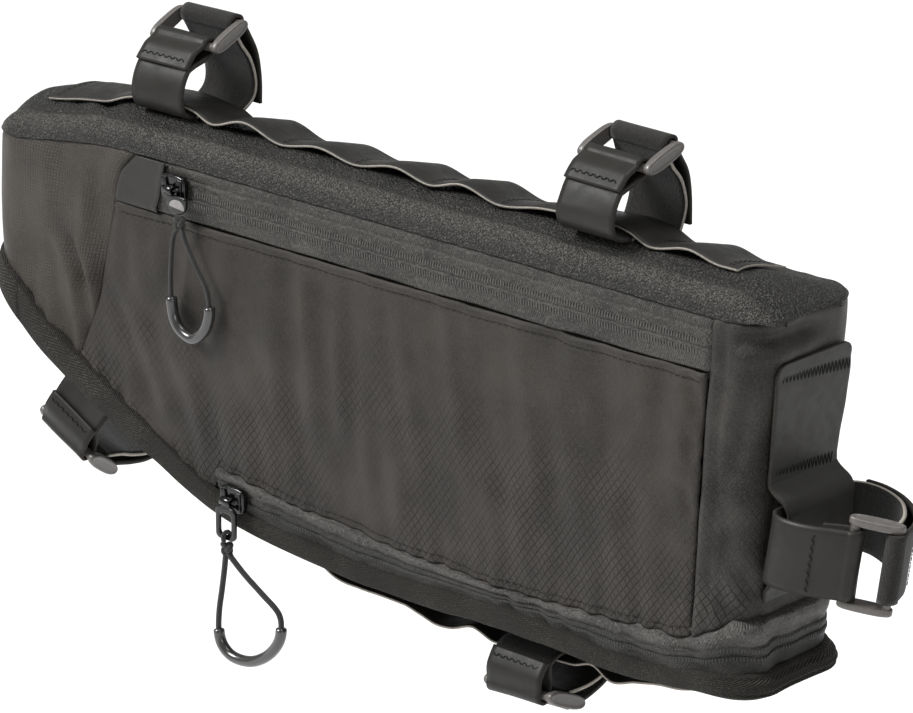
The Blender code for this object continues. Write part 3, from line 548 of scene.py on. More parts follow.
def grain_material():
    n = Nodes("top_grain", rough=0.5, spec=0.40, sheen=0.0)
    pos = n.position()
    cells = n.voronoi(pos, 1350.0)
    cells2 = n.voronoi(pos, 520.0, "SMOOTH_F1")
    fine = n.noise(pos, 1700.0, 3.0, 0.6)
    h = n.math("ADD", n.math("MULTIPLY", cells, 1.0), n.math("ADD", n.math("MULTIPLY", cells2, 0.8), n.math("MULTIPLY", fine, 0.6)))
    tone = n.mix(n.ramp(n.noise(pos, 50.0, 3.0), 0.32, 0.68, 0.0, 1.0), (0.023, 0.0218, 0.0190), (0.036, 0.0340, 0.0300))
    color = n.mix(n.ramp(cells, 0.16, 0.42, 0.0, 1.0), tone, (0.0035, 0.0034, 0.0031))
    # painted highlight: fine light specks over the grain stand in for glints of light on the pebbles
    color = n.mix(n.ramp(fine, 0.51, 0.68, 0.0, 0.60), color, (0.125, 0.118, 0.104))
    # painted highlight: a lighter colour along the crest of the padded roll by the front edge (bag Y about 3 to 6.5 mm,
    # fading out by 0.2 and 10.5 mm)
    part = n.t.nodes.new("ShaderNodeSeparateXYZ")
    n.t.links.new(pos, part.inputs[0])
    painted_roll_highlight = n.math("MULTIPLY", n.ramp(part.outputs[1], -0.0268, -0.0240, 0.0, 1.0), n.ramp(part.outputs[1], -0.0205, -0.0165, 1.0, 0.0))
    color = n.mix(n.math("MULTIPLY", painted_roll_highlight, n.ramp(fine, 0.40, 0.62, 0.0, 0.6)), color, (0.105, 0.099, 0.087))
    return n.done(color, n.bump(n.math("MULTIPLY", h, -1.0), 0.00080, 1.0), n.ramp(cells, 0.1, 0.5, 0.34, 0.62))


TOP = grain_material()


def tape_material(name, dark, light, rough):
    n = Nodes(name, rough=rough, spec=0.34)
    vec, u, v = n.uv()
    pos = n.position()
    weave = n.math("MULTIPLY", n.line(n.math("ADD", u, n.math("MULTIPLY", v, 0.4)), 0.9, 0.35), 0.6)
    fine = n.noise(pos, 1250.0, 3.0, 0.62)
    tone = n.mix(n.ramp(n.noise(pos, 48.0, 3.0), 0.32, 0.68, 0.0, 1.0), dark, light)
    color = n.mix(n.ramp(fine, 0.30, 0.50, 0.90, 0.0), tone, tuple(c * 0.25 for c in dark))
    color = n.mix(n.ramp(fine, 0.52, 0.68, 0.0, 0.75), color, tuple(c * 2.1 for c in light))
    color = n.mix(n.math("MULTIPLY", weave, 0.5), color, tuple(c * 0.5 for c in dark))
    h = n.math("ADD", n.math("MULTIPLY", weave, -0.7), n.math("MULTIPLY", fine, 1.2))
    return n.done(color, n.bump(h, 0.00040, 0.9), n.ramp(fine, 0.2, 0.8, rough - 0.07, rough + 0.10))


TAPE = tape_material("zip_tape", (0.026, 0.0250, 0.0222), (0.050, 0.0480, 0.0430), 0.46)
TAPE_LOW = tape_material("lower_zip_tape", (0.034, 0.0318, 0.0290), (0.068, 0.0640, 0.0590), 0.42)
TAPE_DARK = tape_material("zip_tape_dark", (0.016, 0.0155, 0.0145), (0.027, 0.0260, 0.0240), 0.5)


def binding_material():
    n = Nodes("binding_twill", rough=0.8, spec=0.22, sheen=0.03)
    vec, u, v = n.uv()
    pos = n.position()
    # herringbone: slanted ribs that turn back at each lane along the tape
    side = n.math("ABSOLUTE", n.math("SUBTRACT", n.math("FRACT", n.math("DIVIDE", n.math("ADD", v, 1.5), 9.0)), 0.5))
    slant = n.math("ADD", n.math("MULTIPLY", u, 0.42), n.math("MULTIPLY", side, 11.5))
    rib = n.line(slant, 0.92, 0.45)
    yarn = n.math("FRACT", n.math("DIVIDE", n.math("SUBTRACT", u, n.math("MULTIPLY", v, 0.35)), 0.8))
    yarn = n.ramp(n.math("ABSOLUTE", n.math("SUBTRACT", yarn, 0.5)), 0.0, 0.4, 1.0, 0.0)
    fine = n.noise(pos, 1500.0, 3.0, 0.7)
    fleck = n.math("MULTIPLY", n.ramp(fine, 0.44, 0.62, 0.0, 1.0), n.ramp(n.noise(pos, 60.0, 3.0), 0.35, 0.62, 0.35, 1.0))
    tone = n.mix(n.ramp(n.noise(pos, 45.0, 3.0), 0.3, 0.7, 0.0, 1.0), (0.015, 0.0135, 0.0102), (0.027, 0.0242, 0.0188))
    color = n.mix(n.math("MULTIPLY", rib, n.math("MULTIPLY", fleck, 0.9)), tone, (0.120, 0.110, 0.088))
    color = n.mix(n.math("MULTIPLY", n.math("SUBTRACT", 1.0, rib), 0.8), color, (0.0035, 0.0032, 0.0025))
    h = n.math("ADD", rib, n.math("MULTIPLY", yarn, 0.35))
    return n.done(color, n.bump(h, 0.00060, 1.0))


BIND = binding_material()


def rubber_material(name, dark, light, rough=0.47, grain=0.00004):
    n = Nodes(name, rough=rough, spec=0.22)
    pos = n.position()
    fine = n.noise(pos, 900.0, 3.0, 0.6)
    scuff = n.ramp(n.noise(pos, 90.0, 5.0, 0.65), 0.52, 0.8, 0.0, 0.5)
    tone = n.mix(n.ramp(n.noise(pos, 38.0, 2.0), 0.3, 0.7, 0.0, 1.0), dark, light)
    color = n.mix(scuff, tone, tuple(c * 1.35 for c in light))
    return n.done(color, n.bump(fine, grain, 0.6), n.ramp(n.noise(pos, 260.0, 4.0), 0.3, 0.7, rough - 0.06, rough + 0.08))


RUBBER = rubber_material("coated_strap", (0.0135, 0.0129, 0.0111), (0.0185, 0.0177, 0.0155))
RUBBER_DARK = rubber_material("coated_garage", (0.0220, 0.0212, 0.0195), (0.0270, 0.0262, 0.0242), 0.5)
PATCH = rubber_material("coated_patch", (0.0275, 0.0268, 0.0245), (0.0340, 0.0331, 0.0303), 0.46)


def pile_material():
    n = Nodes("loop_pile", rough=0.9, spec=0.2, sheen=0.15)
    pos = n.position()
    f = n.noise(pos, 1900.0, 3.0, 0.7)
    c = n.voronoi(pos, 1500.0)
    color = n.mix(n.ramp(f, 0.35, 0.7, 0.0, 1.0), (0.0095, 0.0090, 0.0084), (0.024, 0.0228, 0.0210))
    return n.done(color, n.bump(n.math("ADD", f, c), 0.00022, 0.8))


PILE = pile_material()


def plain_material(name, a, b, rough, spec=0.45, scale=400.0, bump=0.00004, coat=0.0, metal=0.0, sheen=0.0):
    n = Nodes(name, rough=rough, spec=spec, coat=coat, metal=metal, sheen=sheen, coat_rough=0.08)
    pos = n.position()
    f = n.noise(pos, scale, 4.0, 0.6)
    return n.done(n.mix(n.ramp(f, 0.3, 0.7, 0.0, 1.0), a, b), n.bump(f, bump, 0.5), n.ramp(f, 0.2, 0.8, max(0.03, rough - 0.05), rough + 0.07))


CUT = plain_material("cut_edge", (0.210, 0.192, 0.165), (0.360, 0.335, 0.295), 0.8, 0.3, 1500.0, 0.0002)
EDGE = plain_material("dark_edge", (0.012, 0.0105, 0.0085), (0.034, 0.0300, 0.0250), 0.8, 0.3, 1500.0, 0.0002)
PLASTIC = plain_material("buckle_plastic", (0.080, 0.0735, 0.0675), (0.104, 0.0955, 0.0885), 0.36, 0.55, 900.0, 0.00004)
METAL = plain_material("slider_black", (0.0016, 0.0016, 0.0017), (0.0034, 0.0034, 0.0035), 0.17, 0.35, 300.0, 0.00002, coat=0.25)
FACET = plain_material("slider_facet", (0.18, 0.170, 0.168), (0.24, 0.228, 0.225), 0.35, 0.5, 500.0, 0.00002)
THREAD = plain_material("dark_thread", (0.0040, 0.0038, 0.0035), (0.011, 0.0105, 0.0095), 0.8, 0.3, 1800.0, 0.0001)
THREAD2 = plain_material("grey_thread", (0.014, 0.0130, 0.0120), (0.030, 0.0280, 0.0260), 0.75, 0.3, 1800.0, 0.0001)
INSIDE = plain_material("lining", (0.010, 0.0095, 0.0090), (0.016, 0.0152, 0.0144), 0.8, 0.3, 500.0, 0.0001)
TOOTH = plain_material("zip_tooth", (0.060, 0.0585, 0.0540), (0.095, 0.0925, 0.0860), 0.40, 0.55, 900.0, 0.00003)
TOOTH_LOW = plain_material("lower_zip_tooth", (0.022, 0.0212, 0.0195), (0.040, 0.0385, 0.0355), 0.42, 0.5, 900.0, 0.00003)


def cord_material():
    n = Nodes("braided_cord", rough=0.72, spec=0.35, sheen=0.15)
    vec, u, v = n.uv()
    l1 = n.line(n.math("ADD", u, n.math("MULTIPLY", v, 0.8)), 0.78, 0.3)
    l2 = n.line(n.math("SUBTRACT", u, n.math("MULTIPLY", v, 0.8)), 0.78, 0.3)
    m = n.math("MAXIMUM", l1, l2)
    pos = n.position()
    f = n.noise(pos, 2500.0, 2.0)
    color = n.mix(m, n.mix(f, (0.008, 0.0077, 0.0070), (0.026, 0.0250, 0.0230)), (0.0018, 0.0018, 0.0016))
    return n.done(color, n.bump(n.math("SUBTRACT", 1.0, m), 0.0003, 0.8))


CORD = cord_material()
GRIP = plain_material("grip_plastic", (0.020, 0.0196, 0.0190), (0.027, 0.0265, 0.0258), 0.22, 0.6, 500.0, 0.00003, coat=0.5)


# ---- walls -----------------------------------------------------------------
def wall_columns(run_from, cx, r, end_inner, side, n_run, n_arc, n_end, back_run=True):
    """Plan columns round an end of the bag. Each is kind, fraction."""
    cols = [("front", i / n_run) for i in range(n_run)]
    cols += [("front_corner", i / n_arc) for i in range(n_arc)]
    cols += [("end", i / n_end) for i in range(n_end)]
    cols += [("back_corner", i / n_arc) for i in range(n_arc)]
    cols += [("back", i / n_run) for i in range(n_run + 1)]
    return cols


def corner_share(col):
    return {"front_corner": step01(0, 1, col[1]), "end": 1.0, "back_corner": 1 - step01(0, 1, col[1])}.get(col[0], 0.0)


def nose_base(col, z):
    """Point without relief, and the outward direction, for an array of z."""
    kind, f = col
    seam = nose_seam_x(z) + 2.5
    cx = NOSE_X + NOSE_R
    one = np.ones_like(z)
    if kind == "front":
        return seam + (cx - seam) * f, 0 * one, (0.0, -1.0)
    if kind == "front_corner":
        a = math.pi / 2 * f
        return (cx - NOSE_R * math.sin(a)) * one, (NOSE_R - NOSE_R * math.cos(a)) * one, (-math.sin(a), -math.cos(a))
    if kind == "end":
        return (NOSE_X - 1.2 * math.sin(math.pi * f)) * one, (NOSE_R + (DEPTH - 2 * NOSE_R) * f) * one, (-1.0, 0.0)
    if kind == "back_corner":
        a = math.pi / 2 * f
        return (cx - NOSE_R * math.cos(a)) * one, (DEPTH - NOSE_R + NOSE_R * math.sin(a)) * one, (-math.cos(a), math.sin(a))
    return cx + (seam - cx) * f, DEPTH * one, (0.0, 1.0)


def tail_base(col, z, seam=None):
    kind, f = col
    end = tail_x(z)
    seam = tail_seam_x(z) - 2.5 if seam is None else seam
    cx = end - TAIL_R
    one = np.ones_like(z)
    if kind == "front":
        return seam + (cx - seam) * f, 0 * one, (0.0, -1.0)
    if kind == "front_corner":
        a = math.pi / 2 * f
        return cx + TAIL_R * math.sin(a), (TAIL_R - TAIL_R * math.cos(a)) * one, (math.sin(a), -math.cos(a))
    if kind == "end":
        return end, (TAIL_R + (DEPTH - 2 * TAIL_R) * f) * one, (1.0, 0.0)
    if kind == "back_corner":
        a = math.pi / 2 * f
        return cx + TAIL_R * math.cos(a), (DEPTH - TAIL_R + TAIL_R * math.sin(a)) * one, (math.cos(a), math.sin(a))
    return cx + (seam - cx) * f, DEPTH * one, (0.0, 1.0)


def end_wall(name, base, cols, top, low, rows, detail, edge=(1.1, 0.0), ends=(2.5, 2.5), **kw):
    """A wall that wraps round one end. detail(s, x, z, share) is its relief; edges roll in at the seams."""
    f = np.linspace(0, 1, rows + 1)
    P = np.zeros((rows + 1, len(cols), 3))
    D = np.zeros((len(cols), 2))
    for j, col in enumerate(cols):
        z = -60.0 * f
        for _ in range(10):
            x, y, d = base(col, z)
            z = top(x) + (low(x) - top(x)) * f
        P[:, j, 0], P[:, j, 1], P[:, j, 2] = x, y, z
        D[j] = d
    s = np.concatenate([[0], np.cumsum(np.hypot(np.diff(P[rows // 2, :, 0]), np.diff(P[rows // 2, :, 1])))])
    S = s[None, :] + np.zeros((rows + 1, 1))
    share = np.array([corner_share(c) for c in cols])[None, :] + np.zeros((rows + 1, 1))
    out = detail(S, P[:, :, 0], P[:, :, 2], share)
    zt = P[:1, :, 2] - P[:, :, 2]
    zl = P[:, :, 2] - P[-1:, :, 2]
    out -= edge[0] * np.exp(-(zt / 1.1) ** 2) + edge[1] * np.exp(-(zl / 1.1) ** 2)
    if ends[0]:
        out -= tuck(S - ends[0])
    if ends[1]:
        out -= tuck(s[-1] - S - ends[1])
    P[:, :, 0] += out * D[None, :, 0]
    P[:, :, 1] += out * D[None, :, 1]
    uv = np.stack([S, P[:, :, 2] * -1.0], -1)
    return grid_object(name, P, uv=uv, **kw), P


def flat_wall(name, xl, xr, top, low, cols, rows, y, sign, detail, edge=(1.0, 1.0, 1.0, 1.0), spread=None, **kw):
    g = np.linspace(0, 1, cols + 1)[None, :]
    f = (np.linspace(0, 1, rows + 1) if spread is None else spread)[:, None]
    z = -60.0 * f + 0 * g
    for _ in range(12):
        x = xl(z) + (xr(z) - xl(z)) * g
        z = top(x) + (low(x) - top(x)) * f
    out = bulge(x, z) + detail(x, z, z - low(x), top(x) - z)
    dl, dr = x - xl(z), xr(z) - x
    out -= (edge[0] * np.exp(-((top(x) - z) / 1.0) ** 2) + edge[1] * np.exp(-((z - low(x)) / 1.0) ** 2)
            + edge[2] * np.exp(-(dl / 1.0) ** 2) + edge[3] * np.exp(-(dr / 1.0) ** 2))
    P = np.stack([x, y + sign * out, z], -1)
    return grid_object(name, P, uv=np.stack([x, -z], -1), **kw), P


FRONT_FOLDS = (
    (126.8, -32, 129.1, -78, 4.2, -1.5), (144.2, -32, 147.6, -80, 4.4, -1.2), (159.0, -26, 158.0, -92, 4.6, -1.1),
    (195.2, -33, 197.8, -84, 6.0, -0.7), (218.0, -35, 220.0, -70, 6.0, -0.6), (248.6, -24, 252.0, -90, 5.5, -1.2),
    (262.0, -31, 265.5, -62, 5.0, -0.8), (272.3, -22, 274.6, -68, 4.6, -1.0), (297.4, -26, 296.3, -62, 4.6, -1.1),
    (133.0, -72, 135.5, -106, 3.6, -0.9), (72.0, -36, 58.0, -68, 5.0, -1.0), (83.7, -56, 90.3, -104, 4.6, -1.0),
    (101.9, -25, 108.6, -64, 4.8, -0.8), (42.5, -62, 57.3, -95, 3.6, -0.9), (58.0, -62, 77.6, -103, 3.8, -0.9),
    (110.0, -85, 116.0, -111, 3.2, -0.7), (171.0, -84, 175.0, -115, 3.6, -0.6), (228.0, -80, 232.0, -116, 4.0, -0.8),
    (285.0, -70, 288.0, -112, 4.2, -0.8), (309.0, -23, 312.5, -34, 2.2, -0.9), (310.0, -44, 311.0, -52, 2.0, -0.7),
    (308.5, -63, 309.5, -72, 2.2, -0.6), (48.0, -22, 46.0, -48, 3.4, -0.5))
front_relief, front_fine = relief(3, 9, 60.0, 90.0, 0.40), relief(5, 10, 17.0, 48.0, 0.12)
seam_wave, seam_wave2 = relief(7, 6, 9.5, 1e9, 0.5), relief(8, 6, 7.5, 1e9, 0.35)


def front_detail(x, z, above, below):
    out = 0.6 * folds(FRONT_FOLDS, x, z) + front_relief(x, z) + 1.7 * front_fine(x, z)
    lean = x - 0.12 * above
    out = out + seam_wave(lean, z) * np.exp(-above / 7.5) * 1.1
    out = out + seam_wave2(x, z) * np.exp(-below / 5.0) * 0.22
    right_d = tail_seam_x(z) - x
    out = out + seam_wave(z * 1.1 + 40, x) * np.exp(-right_d / 4.0) * 0.9
    # turned-in hem along the zip: a low ridge and then a stitched furrow
    out = out + 0.45 * np.exp(-((below - 1.8) / 1.0) ** 2) - 0.45 * np.exp(-((below - 3.6) / 0.7) ** 2)
    out = out - 0.4 * np.exp(-((above - 2.6) / 0.7) ** 2) + 0.3 * np.exp(-((above - 1.2) / 0.8) ** 2)
    return out


def front_low(x):
    free = low_seam(x) - 9.0 * (1 - step01(88.5, 91.5, x))
    return np.maximum(free, bind_top(x) - 1.2) + 0.2

front, FRONT_P = flat_wall("front_cloth", lambda z: nose_seam_x(z) + 0.2, lambda z: tail_seam_x(z) - 0.2,
                           lambda x: ZIP_LOW - 0.2 + 0 * x, front_low, 250, 110, 0.0, -1.0, front_detail, edge=(0.2, 0.45, 0.8, 1.0),
                           mats=[FRONT, INSIDE], slot="ripstop_fabric", thickness=1.2, replaces=["front_panel"], back_mat=1)

back_relief, back_fine = relief(13, 9, 70.0, 80.0, 0.5), relief(15, 10, 18.0, 42.0, 0.14)
BACK_FOLDS = ((70, -20, 60, -90, 5, -0.9), (120, -15, 126, -110, 6, -1.0), (180, -20, 176, -100, 6, -0.8),
              (225, -12, 232, -112, 5, -1.0), (282, -20, 278, -100, 5, -0.9))
flat_wall("back_cloth", lambda z: nose_seam_x(z) + 0.2, lambda z: tail_seam_x(z) - 0.2, lambda x: top_seam(x) - 0.8,
          lambda x: bind_top(x) - 2.5, 180, 80, DEPTH, 1.0,
          lambda x, z, a, b: folds(BACK_FOLDS, x, z) + back_relief(x, z) + back_fine(x, z) + seam_wave(x, z) * np.exp(-a / 7.0)
          + seam_wave2(x, z) * np.exp(-b / 6.0) * 0.6,
          mats=[FRONT, INSIDE], slot="ripstop_fabric", thickness=1.2, replaces=["back_panel"], back_mat=1)

NOSE_FOLDS = ((15.5, -42, 22.5, -56, 2.6, -1.3), (22.0, -50, 24.5, -80, 2.8, -1.0), (31.0, -17, 29.0, -44, 3.4, -0.8),
              (11.6, -8, 11.5, -40, 5.0, -0.6), (36.0, -22, 30.5, -64, 2.6, -0.8), (0.6, -16, -1.9, -56, 5.0, -0.5),
              (5.0, -46, 12.0, -78, 3.6, -0.7), (-8.0, -20, -9.0, -60, 5.0, -0.4), (26.0, -24, 24.0, -50, 4.0, 0.5))
nose_relief, nose_fine = relief(21, 8, 55.0, 70.0, 0.45), relief(23, 10, 14.0, 42.0, 0.10)


def nose_detail(s, x, z, share):
    front_side = 1 - step01(62.0, 80.0, s)
    out = folds(NOSE_FOLDS, x, z) * front_side + nose_relief(s, z) + nose_fine(s, z)
    top, low = top_seam(x), bind_top(x)
    v = np.clip((top - z) / (top - low), 0, 1)
    out = out + 1.6 * np.sin(np.pi * v) * (0.4 + 0.6 * share)
    out = out + seam_wave(s * 0.9, z) * np.exp(-(top - z) / 5.0) * 0.35 + seam_wave(s, z) * np.exp(-(z - low) / 6.0) * 0.5
    # it dips gently where the front piece's hem lies over its edge
    return out - 0.7 * np.exp(-((s - 2.5) / 3.0) ** 2)


nose_cols = wall_columns(0, 0, 0, 0, 0, 44, 26, 16)
end_wall("nose_cloth", nose_base, nose_cols, lambda x: top_seam(x) - 0.7, lambda x: bind_top(x) - 3.0, 80, nose_detail,
         mats=[NOSECLOTH, INSIDE], slot="ripstop_fabric", thickness=1.2, replaces=["nose_panel"], back_mat=1)

tail_cols = wall_columns(0, 0, 0, 0, 0, 20, 26, 26)
tail_relief, tail_fine = relief(31, 8, 45.0, 60.0, 0.35), relief(33, 9, 12.0, 30.0, 0.10)


def tail_detail(s, x, z, share):
    top, low = top_seam(x) + 0 * z, low_seam(x)
    d = top - z
    out = tail_relief(s, z) + tail_fine(s, z) * 1.0
    # stitched-down hem beside the front seam, and the soft dent under the top seam
    out = out + 0.7 * np.exp(-((s - 5.0) / 1.8) ** 2) - 0.5 * np.exp(-((s - 9.0) / 1.4) ** 2)
    out = out - 2.4 * np.exp(-((d - 6.5) / 2.8) ** 2) * step01(8, 16, s) * (1 - step01(40, 54, s))
    out = out + 1.2 * np.exp(-((d - 12.5) / 2.8) ** 2) * step01(8, 16, s) * (1 - step01(42, 56, s))
    out = out - 1.6 * np.exp(-(((s - 16.0) / 4.0) ** 2 + ((z + 78.0) / 15.0) ** 2))
    out = out + folds(((14.0, -88, 24.0, -106, 3.0, 1.0), (11.0, -58, 14.0, -100, 3.0, -0.7), (19.0, -22, 15.0, -52, 3.2, -0.7), (9.0, -100, 30.0, -108, 3.0, -0.6)), s, z)
    return out


tail_clear = 0.0
end_wall("end_cloth", tail_base, tail_cols, lambda x: top_seam(x) - 0.7, lambda x: low_seam(x) + 0.3, 90,
         lambda s, x, z, share: np.where((share > 0.97) & (top_seam(x) - z > 15.0), np.minimum(tail_detail(s, x, z, share), 0.1),
                                         tail_detail(s, x, z, share)), edge=(1.1, 0.6),
         mats=[SHADED_END_RIPSTOP, INSIDE], slot="ripstop_fabric", thickness=1.2, replaces=["end_panel"], back_mat=1)


# ---- zips ------------------------------------------------------------------
zip_relief = relief(41, 8, 46.0, 30.0, 0.22)


def zip_detail(x, z, above, below):
    d = z - ZIP_MID
    out = zip_relief(x, z)
    out = out + 0.55 * np.exp(-(d / 3.6) ** 4) - 0.45 * np.exp(-(d / 0.35) ** 2)
    out = out + 0.30 * np.exp(-((d + 5.2) / 1.2) ** 2) + 0.25 * np.exp(-((d - 5.0) / 0.9) ** 2) - 0.35 * np.exp(-((d - 6.4) / 0.6) ** 2)
    out = out + 0.35 * np.sin(x / 5.3 + 1.2 * np.sin(x / 17.0)) * np.exp(-((d - 9.0) / 2.2) ** 2)
    return out - tuck(z - ZIP_LOW) - tuck(x - nose_seam_x(z)) - tuck(tail_seam_x(z) - x)


rows_f = np.linspace(0, 1, 73)
main_zip, ZIP_P = flat_wall("main_zip_tape", lambda z: nose_seam_x(z) - 2.5, lambda z: tail_seam_x(z) + 2.5,
                            lambda x: top_seam(x) - 0.9, lambda x: ZIP_LOW - 3.0 + 0 * x, 260, 84, 0.0, -1.0, zip_detail,
                            edge=(1.0, 0.0, 0.0, 0.0),
                            mats=[TAPE, INSIDE], slot="coated_zip_tape", thickness=1.0, replaces=["main_zip"], back_mat=1)


def zip_surface_y(x, z):
    x, z = np.asarray(x, float), np.asarray(z, float)
    return -(bulge(x, z) + zip_detail(x, z, z - ZIP_LOW, top_seam(x) - 0.9 - z))


rows = []
for i in range(int((314 - 82) / 1.18)):
    x = 82 + i * 1.18
    for side in (-1, 1):
        z = ZIP_MID + side * 1.95
        rows.append(((x, float(zip_surface_y(x, z)) - 0.10, z), (0.10 * side, 0, 1), (0, -1, 0), 1.05, 0.25, 0.34))
beads("main_zip_teeth", rows, TOOTH)

# Lower zip band, round the tail end.
band_cols = [("run", i / 190) for i in range(190)] + [c for c in tail_cols if c[0] in ("front_corner", "end", "back_corner")] \
    + [("back", i / 8) for i in range(8)]
LOWER_ZIP_X = 86.0


def band_base(col, z):
    if col[0] == "run":
        start = tail_x(z) - TAIL_R
        x = LOWER_ZIP_X + (start - LOWER_ZIP_X) * col[1]
        return x, -bulge(x, z), (0.0, -1.0)
    x, y, d = tail_base(col, z, seam=tail_seam_x(z))
    k = 1.5 * corner_share(col)
    return x + d[0] * k, y + d[1] * k, d


band_relief, band_fine = relief(51, 8, 34.0, 22.0, 0.35), relief(53, 8, 11.0, 16.0, 0.13)
BAND_FOLDS = ((150.0, -113, 162.0, -128, 3.2, -0.9), (158.5, -113, 170.0, -127, 2.6, -0.8), (139.0, -114, 146.0, -127, 2.6, -0.5),
              (210.0, -108, 226.0, -124, 4.0, -1.1), (232.0, -106, 246.0, -122, 4.0, -1.0), (190.0, -112, 200.0, -126, 3.4, -0.6),
              (60.0, -113, 68.0, -124, 3.0, -0.5), (30.0, -112, 36.0, -124, 3.0, -0.5), (256.0, -108, 262.0, -124, 4.0, -0.8))


def band_detail(s, x, z, share):
    top, low = low_seam(x), bind_top(x)
    v = (top - z) / np.maximum(top - low, 0.5)
    out = band_relief(s, z) + band_fine(s, z) + folds(BAND_FOLDS, s, z)
    out = out + 0.50 * np.exp(-((v - 0.66) / 0.20) ** 4) - 0.60 * np.exp(-((v - 0.66) / 0.03) ** 2)
    out = out + 1.0 * np.exp(-((v - 0.20) / 0.17) ** 2) - 0.5 * np.exp(-((v - 0.44) / 0.05) ** 2)
    out = out + seam_wave(s * 1.1, z) * np.exp(-np.abs(top - z) / 3.5) * 0.6
    return out - (2.0 + 1.5 * share) * (1 - step01(-1.0, 1.1, top - z)) - np.where(share < 0.01, tuck(x - 90.0), 0.0) * (s < 20)


band, BAND_P = end_wall("lower_zip_tape", band_base, band_cols, lambda x: low_seam(x) + 3.0, lambda x: bind_top(x) - 3.0, 56,
                        band_detail, edge=(0.0, 0.0), ends=(0.0, 2.5), face_mats=np.where(np.arange(56) < 26, 0, 2),
                        mats=[TAPE_LOW, INSIDE, TAPE_DARK, INSIDE], slot="coated_zip_tape", thickness=1.0, replaces=["lower_zip"], back_mat=1)
rows = []
mid_row = 33
line = BAND_P[mid_row]
seg = np.concatenate([[0], np.cumsum(np.linalg.norm(np.diff(line, axis=0), axis=1))])
upper_line, lower_line = BAND_P[mid_row - 6], BAND_P[mid_row + 6]
normals = np.gradient(line, axis=0)
normals = np.stack([normals[:, 1], -normals[:, 0], 0 * normals[:, 0]], -1)
for at in np.arange(16.0, 300.0, 1.18):
    for other in (upper_line, lower_line):
        p = np.array([np.interp(at, seg, 0.62 * other[:, k] + 0.38 * line[:, k]) for k in range(3)])
        n = np.array([np.interp(at, seg, normals[:, k]) for k in range(3)])
        rows.append((p + n / np.linalg.norm(n) * 0.10, (0, 0, 1), n, 0.9, 0.25, 0.30))
beads("lower_zip_teeth", rows, TOOTH_LOW)


# ---- binding ---------------------------------------------------------------
TAIL_FLARE, NOSE_FLARE = 5.0, 1.8
x_run = np.linspace(NOSE_X + NOSE_R, TAIL_X - 8.5 - TAIL_R, 230)[1:-1]
bind_cols = [("x_front", v) for v in x_run] + [("tail", ("front_corner", i / 26)) for i in range(26)]
bind_cols += [("tail", ("end", i / 18)) for i in range(18)] + [("tail", ("back_corner", i / 26)) for i in range(27)]
bind_cols += [("x_back", v) for v in x_run[::-1]] + [("nose", ("back_corner", 1 - i / 26)) for i in range(26)]
bind_cols += [("nose", ("end", 1 - i / 18)) for i in range(18)] + [("nose", ("front_corner", 1 - i / 26)) for i in range(27)]


def bind_base(col, z):
    kind, c = col
    one = np.ones_like(z)
    if kind == "x_front":
        return c * one, 0 * one, (0.0, -1.0), 0.0
    if kind == "x_back":
        return c * one, DEPTH * one, (0.0, 1.0), 0.0
    if kind == "tail":
        x, y, d = tail_base(c, z)
        return x, y, d, TAIL_FLARE * corner_share(c)
    x, y, d = nose_base(c, z)
    return x, y, d, NOSE_FLARE * corner_share(c)


def make_binding():
    rows = 26
    f = np.linspace(0, 1, rows + 1)
    P = np.zeros((rows + 1, len(bind_cols), 3))
    wob, wob2 = relief(61, 8, 60.0, 1e9, 0.35), relief(62, 8, 26.0, 60.0, 0.18)
    run = 0.0
    last = None
    for j, col in enumerate(bind_cols):
        z = -60.0 * f
        for _ in range(10):
            x, y, d, flare = bind_base(col, z)
            z = bind_top(x) + (bind_low(x) - bind_top(x)) * f
        here = np.array((x[0], y[0]))
        run += 0.0 if last is None else float(np.hypot(*(here - last)))
        last = here
        # a folded tape: swells out in the middle and turns under at both edges
        swell = 1.2 + 0.9 * np.sin(np.pi * f) ** 0.7 - 1.6 * np.exp(-(f / 0.05) ** 2) - 3.2 * step01(0.86, 1.02, f) ** 1.5
        out = swell + flare * (0.35 + 0.65 * step01(0.0, 0.5, f)) + wob(run + 0 * z, 0 * z) * np.sin(np.pi * f) + wob2(run + 0 * z, z)
        # long creases where the tape curls round the ends
        curl = corner_share(col[1]) if col[0] in ("tail", "nose") else 0.0
        out = out + 0.35 * curl * np.sin(2 * np.pi * f * 4.0)
        zz = z - 0.8 * step01(0.9, 1.0, f) + 0.25 * wob(run * 1.4 + 0 * z, 0 * z) * f
        P[:, j] = np.stack([x + d[0] * out, y + d[1] * out, zz], -1)
    return grid_object("binding_tape", P, [BIND], "binding_tape", thickness=1.6, ring=True, replaces=["binding"])


make_binding()


# ---- top and bottom panels ---------------------------------------------------
TOP_STRIP = ((-8, 0.0), (6, 0.0), (20, 0.0), (34, 2.6), (53, 4.4), (66, 3.6), (76, 0.6), (92, 4.2), (110, 0.0), (128, 2.4),
             (145, 0.0), (165, 3.0), (181, 0.4), (196, 3.4), (213, 0.0), (232, 2.6), (246, 3.4), (259, 4.2), (270, 3.0),
             (280, 0.0), (296, 2.6), (310, 0.2), (317, 0.2))
BOTTOM_STRIP = ((118, 0.2), (134, 4.2), (147, 3.4), (159, 2.6), (167, 2.6), (175, 4.0), (184, 5.8), (190, 5.2), (200, 2.4),
                (211, 5.8), (230, 5.2), (246, 4.4), (255, 1.8), (264, 5.0), (275, 1.8), (288, 0.0), (306, 0.0))
SLOPE_STRIP = ((-14, 0.0), (-8, 0.2), (0, 3.8), (6, 5.4), (17, 5.8), (29, 4.8), (42, 0.0), (56, 2.4), (72, 0.0))
TOP_SEWN = (-4.0, 6.0, 20.0, 76.0, 110.0, 145.0, 181.0, 213.0, 280.0, 312.0)
top_relief, top_fine = relief(71, 9, 62.0, 40.0, 0.35), relief(72, 9, 19.0, 24.0, 0.10)
